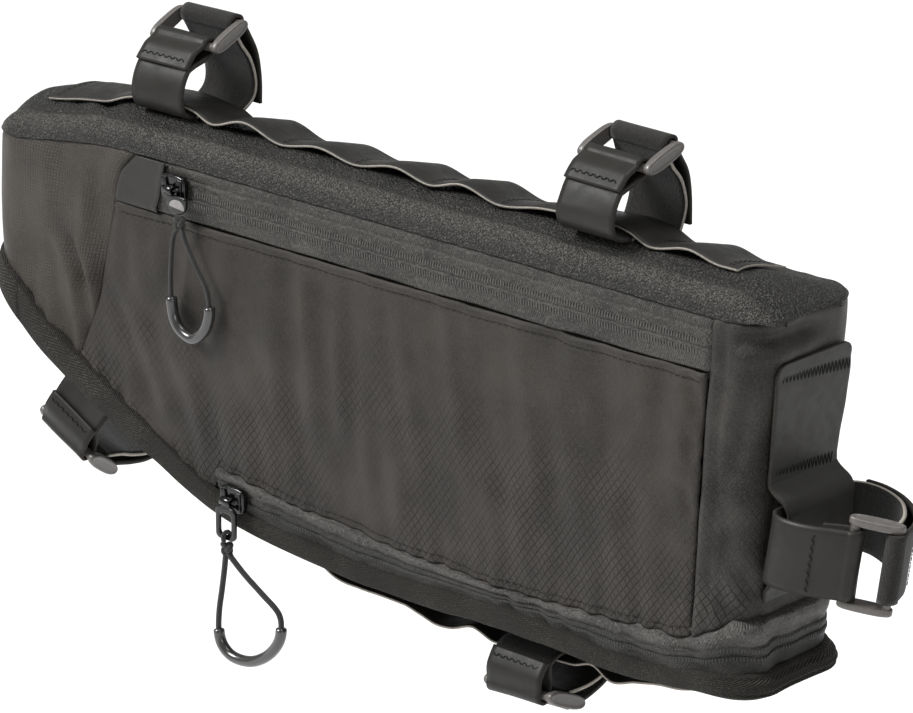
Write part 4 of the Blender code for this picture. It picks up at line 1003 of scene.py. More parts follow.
TOP_FOLDS = ((4.0, 30.0, 30.0, 10.0, 3.0, -0.9), (36.0, 8.0, 60.0, 4.5, 2.4, -0.7), (-12.0, 44.0, 14.0, 46.0, 3.0, -0.6),
             (96.0, 10.0, 120.0, 7.0, 3.0, -0.35), (270.0, 9.0, 292.0, 6.0, 3.0, -0.4), (292.0, 12.0, 318.0, 14.0, 3.0, 0.5))


def make_top():
    stations, across = 300, 72
    a = np.linspace(0, np.pi, stations + 1)
    g = 0.5 - 0.5 * np.cos(a) * (1.0 - 0.25 * np.sin(a) ** 2)
    x = NOSE_X + (TAIL_X - NOSE_X) * g
    s = np.linspace(-1, 1, across + 1)
    X = x[:, None] + 0 * s[None, :]
    h = half_depth(np.clip(X, NOSE_X + 0.02, TAIL_X - 0.02))
    Y = DEPTH / 2 + h * np.sin(np.pi / 2 * s)[None, :]
    Z = crown(X, Y)
    V = np.abs(np.sin(np.pi / 2 * s))[None, :] + 0 * X
    end = np.clip(np.minimum((X - NOSE_X) / 12.0, (TAIL_X - X) / 12.0), 0, 1)
    inner = (1 - V ** 6) * end
    sew = np.zeros_like(X)
    for sx in TOP_SEWN:
        sew += np.exp(-((X - sx) / 3.0) ** 2)
    middle = step01(11.0, 15.0, Y) * (1 - step01(37.0, 41.0, Y))
    Z = Z + inner * (top_relief(X, Y) + top_fine(X, Y) + folds(TOP_FOLDS, X, Y)) - 0.8 * sew * middle
    Z = Z + seam_wave(X, Y) * 0.22 * np.exp(-((1 - V) / 0.16)) * end
    # a padded roll along the front edge with a soft furrow behind it
    Z = Z + end * (2.2 * np.exp(-((Y - 4.4) / 2.6) ** 2) - 1.7 * np.exp(-((Y - 10.6) / 2.5) ** 2))
    # the rim stands out a little over the walls and turns down
    w = step01(0.80, 1.0, V)
    Y = Y + np.sign(s)[None, :] * 0.4 * w
    we = 1 - step01(0.0, 0.22, end)
    X = X + np.where(X < 100, -1.0, 1.0) * we * 0.4
    drop = np.maximum(step01(0.93, 1.0, V), 1 - step01(0.0, 0.06, end))
    Z = Z - 0.9 * drop
    ob = grid_object("top_cloth", np.stack([X, Y, Z], -1), [TOP, INSIDE], "top_panel_grain", thickness=2.0, replaces=["top_panel"], back_mat=1)
    return ob


make_top()


def make_bottom():
    stations, across = 120, 16
    inset = 2.4
    g = np.linspace(0, 1, stations + 1)
    x = NOSE_X + inset + (tail_x(-133.0) + 4.5 - NOSE_X - 2 * inset) * g
    s = np.linspace(-1, 1, across + 1)
    X = x[:, None] + 0 * s[None, :]
    h = np.maximum(half_depth(np.clip(X, NOSE_X + 0.02, tail_x(-133.0) - 0.02), -133.0) - inset, 3.0)
    Y = DEPTH / 2 + h * np.sin(np.pi / 2 * s)[None, :]
    Z = bind_low(X) + 0.4 - 0.9 * (1 - np.abs(s)[None, :] ** 3) + relief(75, 8, 50.0, 30.0, 0.3)(X, Y)
    Z = Z - belly(X) * (1 - np.minimum(1.0, np.abs(Y - DEPTH / 2) / 24.0) ** 2.6)
    grid_object("bottom_cloth", np.stack([X, Y, Z], -1), [FRONT, INSIDE], "ripstop_fabric", thickness=1.2, offset=-1.0,
                replaces=["bottom_panel"], back_mat=1, inside=(155.0, 27.0, 400.0 * -0.2))


make_bottom()


# ---- strips ------------------------------------------------------------------
def make_strip(name, node, table, surface, sign, mid_y, slope_gain, sewn, steps=1.0):
    rise = Curve(table, table[0][0] - 1, table[-1][0] + 1, 0.25)
    xs = np.arange(table[0][0], table[-1][0] + 0.01, steps)
    w = np.linspace(-STRIP_W / 2, STRIP_W / 2, 17)
    X = xs[:, None] + 0 * w[None, :]
    Y = mid_y + w[None, :] + 0 * X
    Z = surface(X, Y) + sign * slope_gain * (rise(X) + GAP + STRIP_T / 2 + 0.15)
    # the cloth is stiff: its edges curl up a little on each hump
    Z = Z + sign * 0.30 * (np.abs(w[None, :]) / 12.5) ** 3 * np.clip(rise(X) / 3.0, 0, 1)
    Y = Y + 0.35 * np.sin(X / 17.0)
    grid_object(name, np.stack([X, Y, Z], -1), [RUBBER, RUBBER, CUT], "coated_webbing", thickness=0.8, offset=0.0,
                replaces=[node], back_mat=0, rim_mat=2, inside=(155.0, 27.0, -60.0))
    rows = []
    for sx in sewn:
        yy = np.linspace(mid_y - 11.4, mid_y + 11.4, 30)
        zz = surface(sx + 0 * yy, yy) + sign * slope_gain * (rise(sx) + GAP + STRIP_T + 0.2)
        rows += stitch_line(np.stack([sx + 0 * yy, yy, zz - sign * 0.22], -1), (0, 0, sign), 1.9, 0.7, 0.28)
        rows += stitch_line(np.stack([sx + 1.3 + 0 * yy, yy, zz - sign * 0.22], -1), (0, 0, sign), 1.9, 0.7, 0.28)
    beads(name + "_stitches", rows, THREAD)


make_strip("top_strip_cloth", "top_strip", TOP_STRIP, crown, 1.0, 26.0, 1.0, (-5.0, 76.0, 110.0, 145.0, 181.0, 213.0, 280.0, 312.0))
make_strip("bottom_strip_cloth", "bottom_strip", BOTTOM_STRIP, lambda x, y: bind_low(x) - belly(x) + 0 * y, -1.0, 27.0, 1.0, (122.0, 163.0, 200.0, 255.0, 288.0, 301.0))
make_strip("slope_strip_cloth", "slope_strip", SLOPE_STRIP, lambda x, y: bind_low(x) + 0 * y, -1.0, 27.0, 1.15, (-11.0, 42.0, 68.0))


# ---- end patch ---------------------------------------------------------------
END_PATCH = ((15.5, 0.4), (57.0, 0.4), (59.5, 2.2), (63.0, 7.0), (67.0, 8.4), (73.0, 8.4), (86.0, 6.6), (92.0, 2.6), (96.0, 0.4), (99.0, 0.4))
PATCH_W, PATCH_Y, PATCH_R, PATCH_T = 39.0, 26.5, 4.0, 1.2
patch_lift = Curve(END_PATCH, 10.0, 105.0, 0.1)


def patch_x(d, y):
    lift = np.where(d <= 57.0, 0.4, patch_lift(d))
    soft = 0.25 * np.sin((y - 8) / 9.0) * step01(24, 34, d) * (1 - step01(44, 52, d))
    dimple = -0.25 * (np.exp(-((d - 21.5) / 2.2) ** 2) + np.exp(-((d - 54.0) / 2.2) ** 2))
    return tail_x(-d) + lift + np.maximum(soft, -0.2) * 0.6 + dimple


def make_patch():
    d = np.concatenate([np.linspace(15.5, 19.5, 14)[:-1], np.linspace(19.5, 57, 60)[:-1], np.linspace(57, 99, 80)])
    s = np.linspace(-1, 1, 41)
    r = np.maximum(0.0, PATCH_R - (d - d[0]))
    half = PATCH_W / 2 - PATCH_R + np.sqrt(np.maximum(0, PATCH_R ** 2 - r ** 2))
    # the lower part narrows a little as it goes inside the end strap
    half = half - 1.6 * step01(58, 70, d)
    extra = 1.2 * (1 - step01(22, 42, d)) - 2.2 * step01(36, 52, d) * (1 - step01(57, 68, d))
    Y = PATCH_Y + half[:, None] * s[None, :] + np.where(s < 0, -2.0 * s, 0.0)[None, :] + extra[:, None] * np.maximum(s, 0.0)[None, :]
    D = d[:, None] + 0 * Y
    P = np.stack([patch_x(D, Y), Y, -D], -1)
    grid_object("end_patch_cloth", P, [PATCH, PATCH, EDGE], "coated_webbing", thickness=PATCH_T, offset=1.0, replaces=["end_patch"],
                rim_mat=2, inside=(155.0, 27.0, -60.0))
    rows = []
    for dd in (21.5, 54.0):
        y = np.linspace(PATCH_Y - 14.6, PATCH_Y + (20.8 if dd < 30 else 15.6), 60)
        x = patch_x(dd + 0 * y, y) + PATCH_T + 0.08
        pts = np.stack([x, y, -dd - 0.11 * (y - PATCH_Y)], -1)
        rows += zigzag(pts, (1, 0, 0), (0, 0, 4.4), 0.95, 0.21, 0.2)
    beads("end_patch_stitches", rows, THREAD)


make_patch()


# ---- strap loops ---------------------------------------------------------------
def arc(centre, radius, start, stop, steps):
    return [(centre[0] + radius * math.cos(math.radians(start + (stop - start) * i / steps)),
             centre[1] + radius * math.sin(math.radians(start + (stop - start) * i / steps)))
            for i in range(steps + 1)]


def curve_points(knots, steps):
    pts = []
    n = len(knots)
    for i in range(n - 1):
        p0 = knots[max(i - 1, 0)]
        p1, p2 = knots[i], knots[i + 1]
        p3 = knots[min(i + 2, n - 1)]
        for k in range(steps):
            t = k / steps
            pts.append(tuple(0.5 * (2 * b + (c - a) * t + (2 * a - 5 * b + 4 * c - d) * t * t
                                    + (3 * b - a - 3 * c + d) * t ** 3)
                             for a, b, c, d in zip(p0, p1, p2, p3)))
    pts.append(tuple(knots[-1]))
    return pts


LAY = 12.5


class Loop:
    def __init__(self, name, origin, w_dir, q_dir, near, far, sewn, front, back, tail, near_arc, far_arc, skew=(0.0, 0.0), outside=True, shift=0.0):
        self.name, self.origin = name, np.array([float(v) for v in origin])
        self.w = np.array(Vector(w_dir).normalized())
        self.q = np.array(Vector(q_dir).normalized())
        self.p = np.array((0.0, 1.0, 0.0))
        self.near, self.far, self.skew = near, far, skew
        K = 7
        self.outside, self.shift = outside, shift
        c = curve_points(front + back, K)
        d = arc(far, FOLD_R, far_arc[0], far_arc[1], 20)
        e = curve_points(tail, K)[1:]
        if outside:
            # the end is folded over the bar and stitched down on the outside
            F = np.array(c)
            sF = np.concatenate([[0], np.cumsum(np.linalg.norm(np.diff(F, axis=0), axis=1))])
            mid = np.array(c + e).mean(0)

            def at(v):
                return np.array([np.interp(v, sF, F[:, 0]), np.interp(v, sF, F[:, 1])])

            def outward(v):
                t = at(v + 0.4) - at(max(v - 0.4, 0.0))
                n = np.array((-t[1], t[0])) / np.linalg.norm(t)
                return n if n.dot(at(v) - mid) > 0 else -n
            a = [tuple(at(v) + outward(v) * 1.5 * float(step01(1.0, 7.0, v))) for v in np.linspace(LAY, 0.5, 18)]
            b = arc(near, FOLD_R, near_arc[1], near_arc[0], 20)
            start, stop = np.array(b[-1]), at(LAY)
            joined = [tuple(start), tuple(start * 0.62 + stop * 0.38 - outward(5.0) * 0.4), tuple(start * 0.25 + stop * 0.75), tuple(stop)]
            main = [tuple(v) for v in F[sF > LAY + 0.8]]
            c = curve_points(joined, K)[1:] + main[:-1]
            first_back = len(a) + len(b) + len(curve_points(joined, K)) + int(np.sum(sF[sF > LAY + 0.8] < sF[len(front) * K]))
        else:
            a = curve_points(list(reversed(sewn[:3])), K)[:-1]
            b = arc(near, FOLD_R, near_arc[0], near_arc[1], 20)
            c = c[1:-1]
            first_back = len(a) + len(b) + len(front) * K
        self.path = a + b + c + d + e
        self.marks = (len(a), len(a) + len(b), len(a) + len(b) + len(c), len(a) + len(b) + len(c) + len(d))
        rows = np.zeros(len(self.path) - 1, int)
        if outside:
            rows[:self.marks[1] + 2] = 6
        rows[first_back:self.marks[2]] = 3
        self.rows = rows

    def point(self, p, q, w):
        turn = max(0.0, min(1.0, (q - 3.0) / (self.near[1] - 3.0)))
        return (self.origin + self.p * (p + self.skew[0] * w * turn) + self.q * (q + self.skew[1] * w * turn) + self.w * w)

    def build(self):
        W = np.linspace(-WEB_W / 2, WEB_W / 2, 13)
        path = np.array(self.path)
        t = np.gradient(path, axis=0)
        t /= np.linalg.norm(t, axis=1, keepdims=True)
        nrm = np.stack([-t[:, 1], t[:, 0]], -1)
        grid = np.zeros((len(path), len(W), 3))
        wav = relief(hash_name(self.name), 6, 30.0, 40.0, 0.10)
        for i, (p, q) in enumerate(path):
            for j, w in enumerate(W):
                o = float(wav(np.float64(i * 1.2), np.float64(w)))
                grid[i, j] = self.point(p + nrm[i, 0] * o, q + nrm[i, 1] * o, w)
        ref = self.point(*((np.array(self.near) + np.array(self.far)) / 2 * np.array((1, 0.5)) + np.array((6.0, 0.0))), 0.0)
        ob = grid_object("strap_%s_cloth" % self.name, grid, [RUBBER, PILE, EDGE, RUBBER, PILE, CUT, RUBBER, RUBBER, EDGE],
                         "coated_webbing", thickness=1.25, offset=0.0, face_mats=self.rows,
                         replaces=["strap_" + self.name], back_mat=1, rim_mat=2, inside=ref)
        self.stitches(path, nrm)
        self.buckle()
        return ob

    def stitches(self, path, nrm):
        """One zigzag row across the strap below each buckle fold."""
        rows = []
        s = np.concatenate([[0], np.cumsum(np.linalg.norm(np.diff(path, axis=0), axis=1))])
        for start, way in ((0.0, 2.4) if self.outside else (s[self.marks[1]], 11.0), (s[self.marks[3]], 10.5)):
            at = start + way
            if at > s[-1]:
                continue
            i = int(np.searchsorted(s, at))
            n2 = nrm[i]
            mid = path.mean(0)
            if np.dot(path[i] - mid, n2) < 0:
                n2 = -n2
            n3 = self.p * n2[0] + self.q * n2[1]
            t3 = self.p * (path[i + 1] - path[i - 1])[0] + self.q * (path[i + 1] - path[i - 1])[1]
            t3 = t3 / np.linalg.norm(t3)
            pts = [self.point(path[i][0] + n2[0] * (WEB_T / 2 + 0.12), path[i][1] + n2[1] * (WEB_T / 2 + 0.12), w) for w in np.linspace(-11.2, 11.2, 20)]
            rows += zigzag(pts, n3, t3 * 1.25, 1.5, 0.26, 0.2)
        beads("strap_%s_stitches" % self.name, rows, THREAD)

    def buckle(self):
        mid = ((self.near[0] + self.far[0]) / 2, (self.near[1] + self.far[1]) / 2)
        along = Vector(self.p * (self.far[0] - self.near[0]) + self.q * (self.far[1] - self.near[1]))
        across = Vector(self.w + self.p * self.skew[0] + self.q * self.skew[1]).normalized()
        along = along - across * along.dot(across)
        pitch = along.length
        along.normalize()
        normal = across.cross(along).normalized()
        centre = self.point(mid[0], mid[1], self.shift)
        rail_w = 2.6

        def world(a, u, v):
            return np.asarray(centre) + np.array(across) * a + np.array(along) * u + np.array(normal) * v
        verts, faces = [], []
        # side rails: lens-shaped plates with softened edges
        N = 40
        outline = []
        for i in range(N):
            ang = 2 * math.pi * i / N
            cu, su = math.cos(ang), math.sin(ang)
            u = (BUCKLE_L / 2 + 0.3) * math.copysign(abs(cu) ** 0.70, cu)
            v = 2.8 * math.copysign(abs(su) ** 0.85, su)
            outline.append((u, v))
        for side in (-1, 1):
            inner, outer = side * (BUCKLE_W / 2 - rail_w), side * BUCKLE_W / 2
            base = len(verts)
            layers = [(inner, 0.93), (inner + side * 0.35, 1.0), (outer - side * 0.9, 1.0), (outer - side * 0.35, 0.95),
                      (outer - side * 0.05, 0.84), (outer, 0.70), (outer - side * 0.25, 0.55), (outer - side * 0.28, 0.30)]
            for a, k in layers:
                for u, v in outline:
                    verts.append(world(a, u - (1 - k) * 0.0 if k == 1 else u * (1 - (1 - k) * 0.30), v * k))
            for li in range(len(layers) - 1):
                for i in range(N):
                    j = (i + 1) % N
                    faces.append((base + li * N + i, base + li * N + j, base + (li + 1) * N + j, base + (li + 1) * N + i))
            faces.append(tuple(base + i for i in range(N)))
            faces.append(tuple(base + (len(layers) - 1) * N + i for i in range(N)))
        for side in (-1, 1):
            base = len(verts)
            M = 28
            for a in np.linspace(-(BUCKLE_W / 2 - 0.8), BUCKLE_W / 2 - 0.8, 9):
                for i in range(M):
                    ang = 2 * math.pi * i / M
                    verts.append(world(a, side * pitch / 2 + BUCKLE_BAR / 2 * math.cos(ang), BUCKLE_BAR / 2 * math.sin(ang)))
            for li in range(8):
                for i in range(M):
                    j = (i + 1) % M
                    faces.append((base + li * M + i, base + li * M + j, base + (li + 1) * M + j, base + (li + 1) * M + i))
            faces.append(tuple(base + i for i in range(M)))
            faces.append(tuple(base + 8 * M + i for i in range(M)))
        me = bpy.data.meshes.new("buckle_%s_frame" % self.name)
        me.from_pydata(to_scene(np.array(verts)).tolist(), [], faces)
        bm = bmesh.new()
        bm.from_mesh(me)
        bmesh.ops.recalc_face_normals(bm, faces=bm.faces)
        bm.to_mesh(me)
        bm.free()
        me.shade_smooth()
        me.set_sharp_from_angle(angle=math.radians(40))
        new_object("buckle_%s_frame" % self.name, me, [PLASTIC], "bag", ["buckle_" + self.name])


def hash_name(name):
    return sum((i + 1) * ord(c) for i, c in enumerate(name)) % 9973


def top_loop(name, x_mid, shift, lift, near_by, far_by, skew):
    near = (19.8 + shift + near_by[0], 34.6 + lift + near_by[1])
    far = (33.3 + shift + far_by[0], 39.0 + lift + far_by[1])
    base = [(y, max(float(crown(x_mid + e, y)) for e in (-12.5, 0.0, 12.5)) + GAP + WEB_T / 2 + 0.3) for y in (14.0 + shift * 0.5, 20.0, 27.0, 34.0, 38.0)]
    return Loop(name, (x_mid, 0, 0), (1, 0, 0), (0, 0, 1), near, far,
                sewn=[(near[0] + 1.87, near[1] - 1.87), (near[0] - 3.6, near[1] - 5.3),
                      (near[0] - 7.8, near[1] - 8.4), (near[0] - 10.4, near[1] - 11.6)],
                front=[(near[0] - 1.87, near[1] + 1.87), (13.5 + shift, 32.3 + lift), (9.2 + shift, 27.6 + lift),
                       (6.7 + shift, 23.4 + lift), (5.4 + shift, 19.6), (6.0 + shift, 15.6), (9.0 + shift * 0.8, 12.6)],
                back=base + [(41.3 + shift * 0.9, 12.2), (42.6 + shift, 18.5), (40.2 + shift, 26.0 + lift * 0.6),
                             (35.6 + shift, 31.8 + lift), (far[0] - 1.87, far[1] - 1.87)],
                tail=[(far[0] + 2.3, far[1] + 1.32), (39.4 + shift, 35.4 + lift), (43.3 + shift, 28.0 + lift * 0.6),
                      (45.1 + shift, 19.0), (45.0 + shift, 9.6)],
                near_arc=(-45, 135), far_arc=(225, 30), skew=skew)


LEFT_X, RIGHT_X, BOTTOM_X = 53.0, 258.5, 230.5
SLOPE_X, SLOPE = 16.6, math.radians(27.5)
END_Z, END_TILT = -77.0, math.radians(8.5)
loops = [
    top_loop("top_left", LEFT_X, 4.0, 1.3, (0.0, 0.0), (0.2, 1.4), (0.02, 0.0)),
    top_loop("top_right", RIGHT_X, 0.0, 0.0, (1.2, 0.2), (1.7, 0.6), (-0.05, 0.0)),
    Loop("bottom", (BOTTOM_X, 0, float(bind_low(BOTTOM_X) - belly(BOTTOM_X)) - 0.4), (1, 0, -0.01), (0, 0, -1),
         near=(5.0, 15.5), far=(18.0, 21.2),
         sewn=[(7.6, 15.0), (7.9, 10.5), (9.0, 7.4), (10.8, 5.2)],
         front=[(2.35, 15.5), (3.3, 11.0), (5.3, 7.0), (8.2, 3.6), (12.4, 1.9)],
         back=[(20.0, 1.5), (27.0, 1.5), (35.0, 1.5), (40.5, 2.6), (44.0, 7.0), (42.6, 12.4),
               (37.6, 16.4), (31.0, 18.4), (24.5, 18.9), (18.0, 18.55)],
         tail=[(18.0, 23.85), (26.5, 23.2), (36.0, 20.2), (43.6, 15.6), (47.2, 9.6), (47.4, 4.4)],
         near_arc=(-10, 180), far_arc=(270, 90), skew=(-0.05, -0.08), shift=1.5),
    Loop("slope", (SLOPE_X, 0, float(bind_low(SLOPE_X))), (math.cos(SLOPE), 0, -math.sin(SLOPE)),
         (-math.sin(SLOPE), 0, -math.cos(SLOPE)),
         near=(7.0, 26.0), far=(18.6, 34.2),
         sewn=[(9.5, 25.0), (8.9, 19.6), (10.2, 14.0), (12.2, 9.6)],
         front=[(4.4, 26.4), (5.0, 19.4), (7.4, 12.0), (10.2, 6.2), (14.4, 2.6)],
         back=[(20.0, 1.9), (27.0, 1.8), (36.0, 1.9), (46.0, 2.6), (53.0, 7.4), (56.2, 16.0),
               (56.4, 25.6), (53.0, 34.0), (45.5, 38.6), (35.0, 36.6), (27.0, 33.4), (19.5, 31.7)],
         tail=[(18.2, 36.85), (26.0, 38.2), (36.0, 41.0), (46.0, 42.2), (54.5, 37.6), (58.8, 28.6), (59.4, 18.0)],
         near_arc=(-20, 170), far_arc=(290, 95), skew=(-0.08, -0.09), shift=1.2),
    Loop("end", (tail_x(END_Z), 0, END_Z), (math.sin(END_TILT), 0, math.cos(END_TILT)), (1, 0, 0),
         near=(12.8, 33.2), far=(19.3, 45.6),
         sewn=[(15.4, 32.4), (12.9, 27.4), (10.0, 22.4), (8.6, 17.6)],
         front=[(10.2, 33.6), (8.2, 28.4), (6.0, 22.4), (4.6, 15.4), (4.8, 8.8), (7.0, 4.6), (11.0, 3.3)],
         back=[(20.0, 3.3), (30.0, 3.3), (40.0, 3.3), (46.0, 4.6), (49.0, 9.8), (48.0, 18.4),
               (42.6, 29.0), (34.0, 37.0), (26.5, 40.6), (21.0, 42.4), (17.9, 43.1)],
         tail=[(21.3, 47.3), (29.4, 44.2), (39.0, 37.4), (46.6, 27.4), (50.8, 16.4), (51.4, 8.0)],
         near_arc=(-15, 165), far_arc=(240, 40), skew=(0.0, 0.0), outside=False),
]
for loop in loops:
    loop.build()


# ---- garage, sliders, tabs -------------------------------------------------------
GARAGE = ((-1.4, 53.5, 66.9), (-2.0, 53.0, 66.9), (-8.0, 48.4, 65.6), (-14.5, 43.0, 64.5), (-17.6, 42.9, 63.4), (-18.0, 43.4, 63.0))


def make_garage():
    zs = np.linspace(-1.4, -20.3, 44)
    left = nose_seam_x(zs) + 0.2
    rght = np.interp(-zs, [-g[0] for g in GARAGE], [g[2] for g in GARAGE])
    f = np.linspace(0, 1, 44)[None, :]
    X = left[:, None] + (rght - left)[:, None] * f
    Z = zs[:, None] + 0 * f
    Y = -bulge(X, Z) - 1.15 + 0.7 * np.exp(-((X - left[:, None]) / 1.0) ** 2) + 0.5 * np.exp(-((Z + 20.3) / 0.9) ** 2)
    Y = Y - 0.25 * np.exp(-((X - rght[:, None] + 1.2) / 1.2) ** 2)
    grid_object("zip_garage_cloth", np.stack([X, Y, Z], -1), [RUBBER_DARK, RUBBER_DARK, RUBBER_DARK], "coated_webbing", thickness=0.8, offset=-1.0,
                replaces=["zip_garage"])


make_garage()


def rounded_plate(name, outline, y_mid, thick, mat, body, replaces=(), hole=None, bevel=0.4, steps=4):
    """A plate in the XZ plane with rounded edges; outline and hole are closed lists of X, Z."""
    verts, faces = [], []
    outer = np.array(outline, float)
    n = len(outer)

    def inset(loop, d):
        a, b = np.roll(loop, 1, 0), np.roll(loop, -1, 0)
        t = b - a
        t /= np.maximum(np.linalg.norm(t, axis=1, keepdims=True), 1e-9)
        nrm = np.stack([t[:, 1], -t[:, 0]], -1)
        area = 0.5 * np.sum(loop[:, 0] * np.roll(loop[:, 1], -1) - np.roll(loop[:, 0], -1) * loop[:, 1])
        return loop - nrm * d * (1 if area > 0 else -1)

    def ring_layers(loop, sign):
        layers = []
        for i in range(steps + 1):
            a = math.pi / 2 * i / steps
            layers.append((inset(loop, sign * bevel * (1 - math.sin(a))), -thick / 2 + bevel * (1 - math.cos(a))))
        for i in range(steps + 1):
            a = math.pi / 2 * i / steps
            layers.append((inset(loop, sign * bevel * (1 - math.cos(a))), thick / 2 - bevel * (1 - math.sin(a))))
        return layers
    loops_ = [ring_layers(outer, 1.0)]
    if hole is not None:
        loops_.append(ring_layers(np.array(hole, float), -1.0))
    starts = []
    for layers in loops_:
        starts.append(len(verts))
        m = len(layers[0][0])
        for loop, y in layers:
            verts += [(p[0], y_mid + y, p[1]) for p in loop]
        s0 = starts[-1]
        for li in range(len(layers) - 1):
            for i in range(m):
                j = (i + 1) % m
                faces.append((s0 + li * m + i, s0 + li * m + j, s0 + (li + 1) * m + j, s0 + (li + 1) * m + i))
    last = len(loops_[0]) - 1
    if hole is None:
        faces.append(tuple(range(starts[0], starts[0] + n)))
        faces.append(tuple(range(starts[0] + last * n, starts[0] + last * n + n)))
    else:
        for li in (0, last):
            for i in range(n):
                j = (i + 1) % n
                faces.append((starts[0] + li * n + i, starts[0] + li * n + j, starts[1] + li * n + j, starts[1] + li * n + i))
    me = bpy.data.meshes.new(name)
    me.from_pydata(to_scene(np.array(verts)).tolist(), [], faces)
    bm = bmesh.new()
    bm.from_mesh(me)
    bmesh.ops.recalc_face_normals(bm, faces=bm.faces)
    bm.to_mesh(me)
    bm.free()
    me.shade_smooth()
    me.set_sharp_from_angle(angle=math.radians(50))
    return new_object(name, me, [mat], body, replaces)


def super_loop(x0, x1, z0, z1, r, n=48):
    """Rounded rectangle, corner radius r."""
    pts = []
    for k, (cx, cz) in enumerate(((x1 - r, z1 - r), (x0 + r, z1 - r), (x0 + r, z0 + r), (x1 - r, z0 + r))):
        for i in range(n // 4):
            a = math.pi / 2 * (k + i / (n // 4 - 1))
            pts.append((cx + r * math.cos(a), cz + r * math.sin(a)))
    return pts


UPPER_Y, LOWER_Y = -5.756775, -6.75      # hinge axes
UPPER_FACE, LOWER_FACE = UPPER_Y + 2.2, LOWER_Y + 2.2


def make_slider(name, x, z, face, axis_y, node):
    """Body with raised shoulders and an arched bridge."""
    outline = [(x - 6.0, z - 2.6), (x - 5.2, z - 4.2), (x - 3.4, z - 4.7), (x + 3.2, z - 4.7), (x + 5.0, z - 4.2), (x + 6.0, z - 2.4),
               (x + 6.0, z + 2.4), (x + 5.0, z + 4.2), (x + 3.0, z + 4.7), (x - 3.4, z + 4.7), (x - 5.2, z + 4.2), (x - 6.0, z + 2.6)]
    # finer outline
    o = np.array(outline)
    fine = []
    for i in range(len(o)):
        a, b = o[i], o[(i + 1) % len(o)]
        for k in range(4):
            fine.append(tuple(a + (b - a) * k / 4))
    rounded_plate(name + "_body", fine, face + 1.3, 2.6, METAL, "bag", [node], bevel=0.75, steps=5)
    # wedge-shaped shoulders either side of the bridge, which catch the light
    rounded_plate(name + "_shoulder", [(x - 5.0, z + 3.2), (x - 2.6, z + 3.7), (x - 1.8, z + 0.4), (x - 2.6, z - 3.4), (x - 4.6, z - 2.6)],
                  face - 0.25, 1.1, METAL, "bag", bevel=0.3, steps=3)
    rounded_plate(name + "_shoulder_b", [(x + 5.0, z + 3.2), (x + 4.6, z - 2.6), (x + 2.6, z - 3.4), (x + 2.2, z + 0.4), (x + 2.6, z + 3.7)],
                  face - 0.15, 0.9, METAL, "bag", bevel=0.3, steps=3)
    t = np.linspace(0, 1, 28)
    bx = x - 3.9 + 7.8 * t
    by = face + 0.3 + (axis_y - face - 0.3) * np.sin(np.pi * np.clip(t, 0, 1)) ** 0.32
    tube(name + "_bridge", np.stack([bx, by, z + 0 * t], -1), 0.68, METAL, "bag", sides=14)


make_slider("upper_slider", 72.9, -8.5, UPPER_FACE, UPPER_Y, "slider_upper")
make_slider("lower_slider", 101.0, -119.0, LOWER_FACE, LOWER_Y, "slider_lower")


def make_eye(name, x, y, z, width, body, neck):
    """Ring that rolls on the bridge bar, with the neck of the tab."""
    rows = []
    a = np.linspace(0, 2 * math.pi, 25)
    pts = [(x, y + 1.32 * math.cos(t), z + 1.32 * math.sin(t)) for t in a]
    P = np.array(pts)
    verts, faces = [], []
    for k, (yy, zz) in enumerate([(p[1], p[2]) for p in P[:-1]]):
        dy, dz = (yy - y) / 1.32, (zz - z) / 1.32
        for wx, r in ((-width / 2, 1.1), (-width / 2, 1.5), (-width / 2 + 0.25, 1.7), (width / 2 - 0.25, 1.7), (width / 2, 1.5), (width / 2, 1.1)):
            verts.append((x + wx, y + dy * r, z + dz * r))
    m, n = 6, 24
    for k in range(n):
        q = (k + 1) % n
        for i in range(m):
            j = (i + 1) % m
            faces.append((k * m + i, k * m + j, q * m + j, q * m + i))
    me = bpy.data.meshes.new(name)
    me.from_pydata(to_scene(np.array(verts)).tolist(), [], faces)
    bm = bmesh.new()
    bm.from_mesh(me)
    bmesh.ops.recalc_face_normals(bm, faces=bm.faces)
    bm.to_mesh(me)
    bm.free()
    me.shade_smooth()
    me.set_sharp_from_angle(angle=math.radians(45))
    new_object(name, me, [METAL], body)
    rounded_plate(name + "_neck", super_loop(neck[0], neck[1], neck[2], neck[3], 0.4, 24), y - 0.35, 1.3, METAL, body, bevel=0.25)


def d_outline(x0, x1, z_top, z_bot, r_top=1.2):
    """Plate with a half-round lower end."""
    cx, r = (x0 + x1) / 2, (x1 - x0) / 2
    pts = [(cx + r * math.cos(a), z_bot + r * 0.86 + r * 0.86 * math.sin(a)) for a in np.linspace(0, -math.pi, 28)]
    pts += [(x0 + r_top - r_top * math.cos(a), z_top - r_top + r_top * math.sin(a)) for a in np.linspace(0, math.pi / 2, 8)]
    pts += [(x1 - r_top + r_top * math.sin(a), z_top - r_top + r_top * math.cos(a)) for a in np.linspace(0, math.pi / 2, 8)]
    return pts


rounded_plate("upper_tab_plate", d_outline(73.2, 82.8, -9.8, -16.6), UPPER_Y - 0.3, 1.5, METAL, "upper_pull",
              ["tab_upper"], bevel=0.5)
# the lighter half-disc facet on the plate's face
cx, cz, r = 78.5, -13.6, 3.7
facet = [(cx + r * math.cos(a), cz + 2.5 * math.sin(a)) for a in np.linspace(0.0, math.pi, 24)] + [(cx - r + 0.4, cz - 0.35), (cx + r - 0.2, cz - 1.0)]
rounded_plate("upper_tab_facet", facet, UPPER_Y - 1.06, 0.3, FACET, "upper_pull", bevel=0.12, steps=2)
make_eye("upper_tab_eye", 74.0, UPPER_Y, -8.5, 3.5, "upper_pull", (72.5, 75.5, -11.6, -9.3))

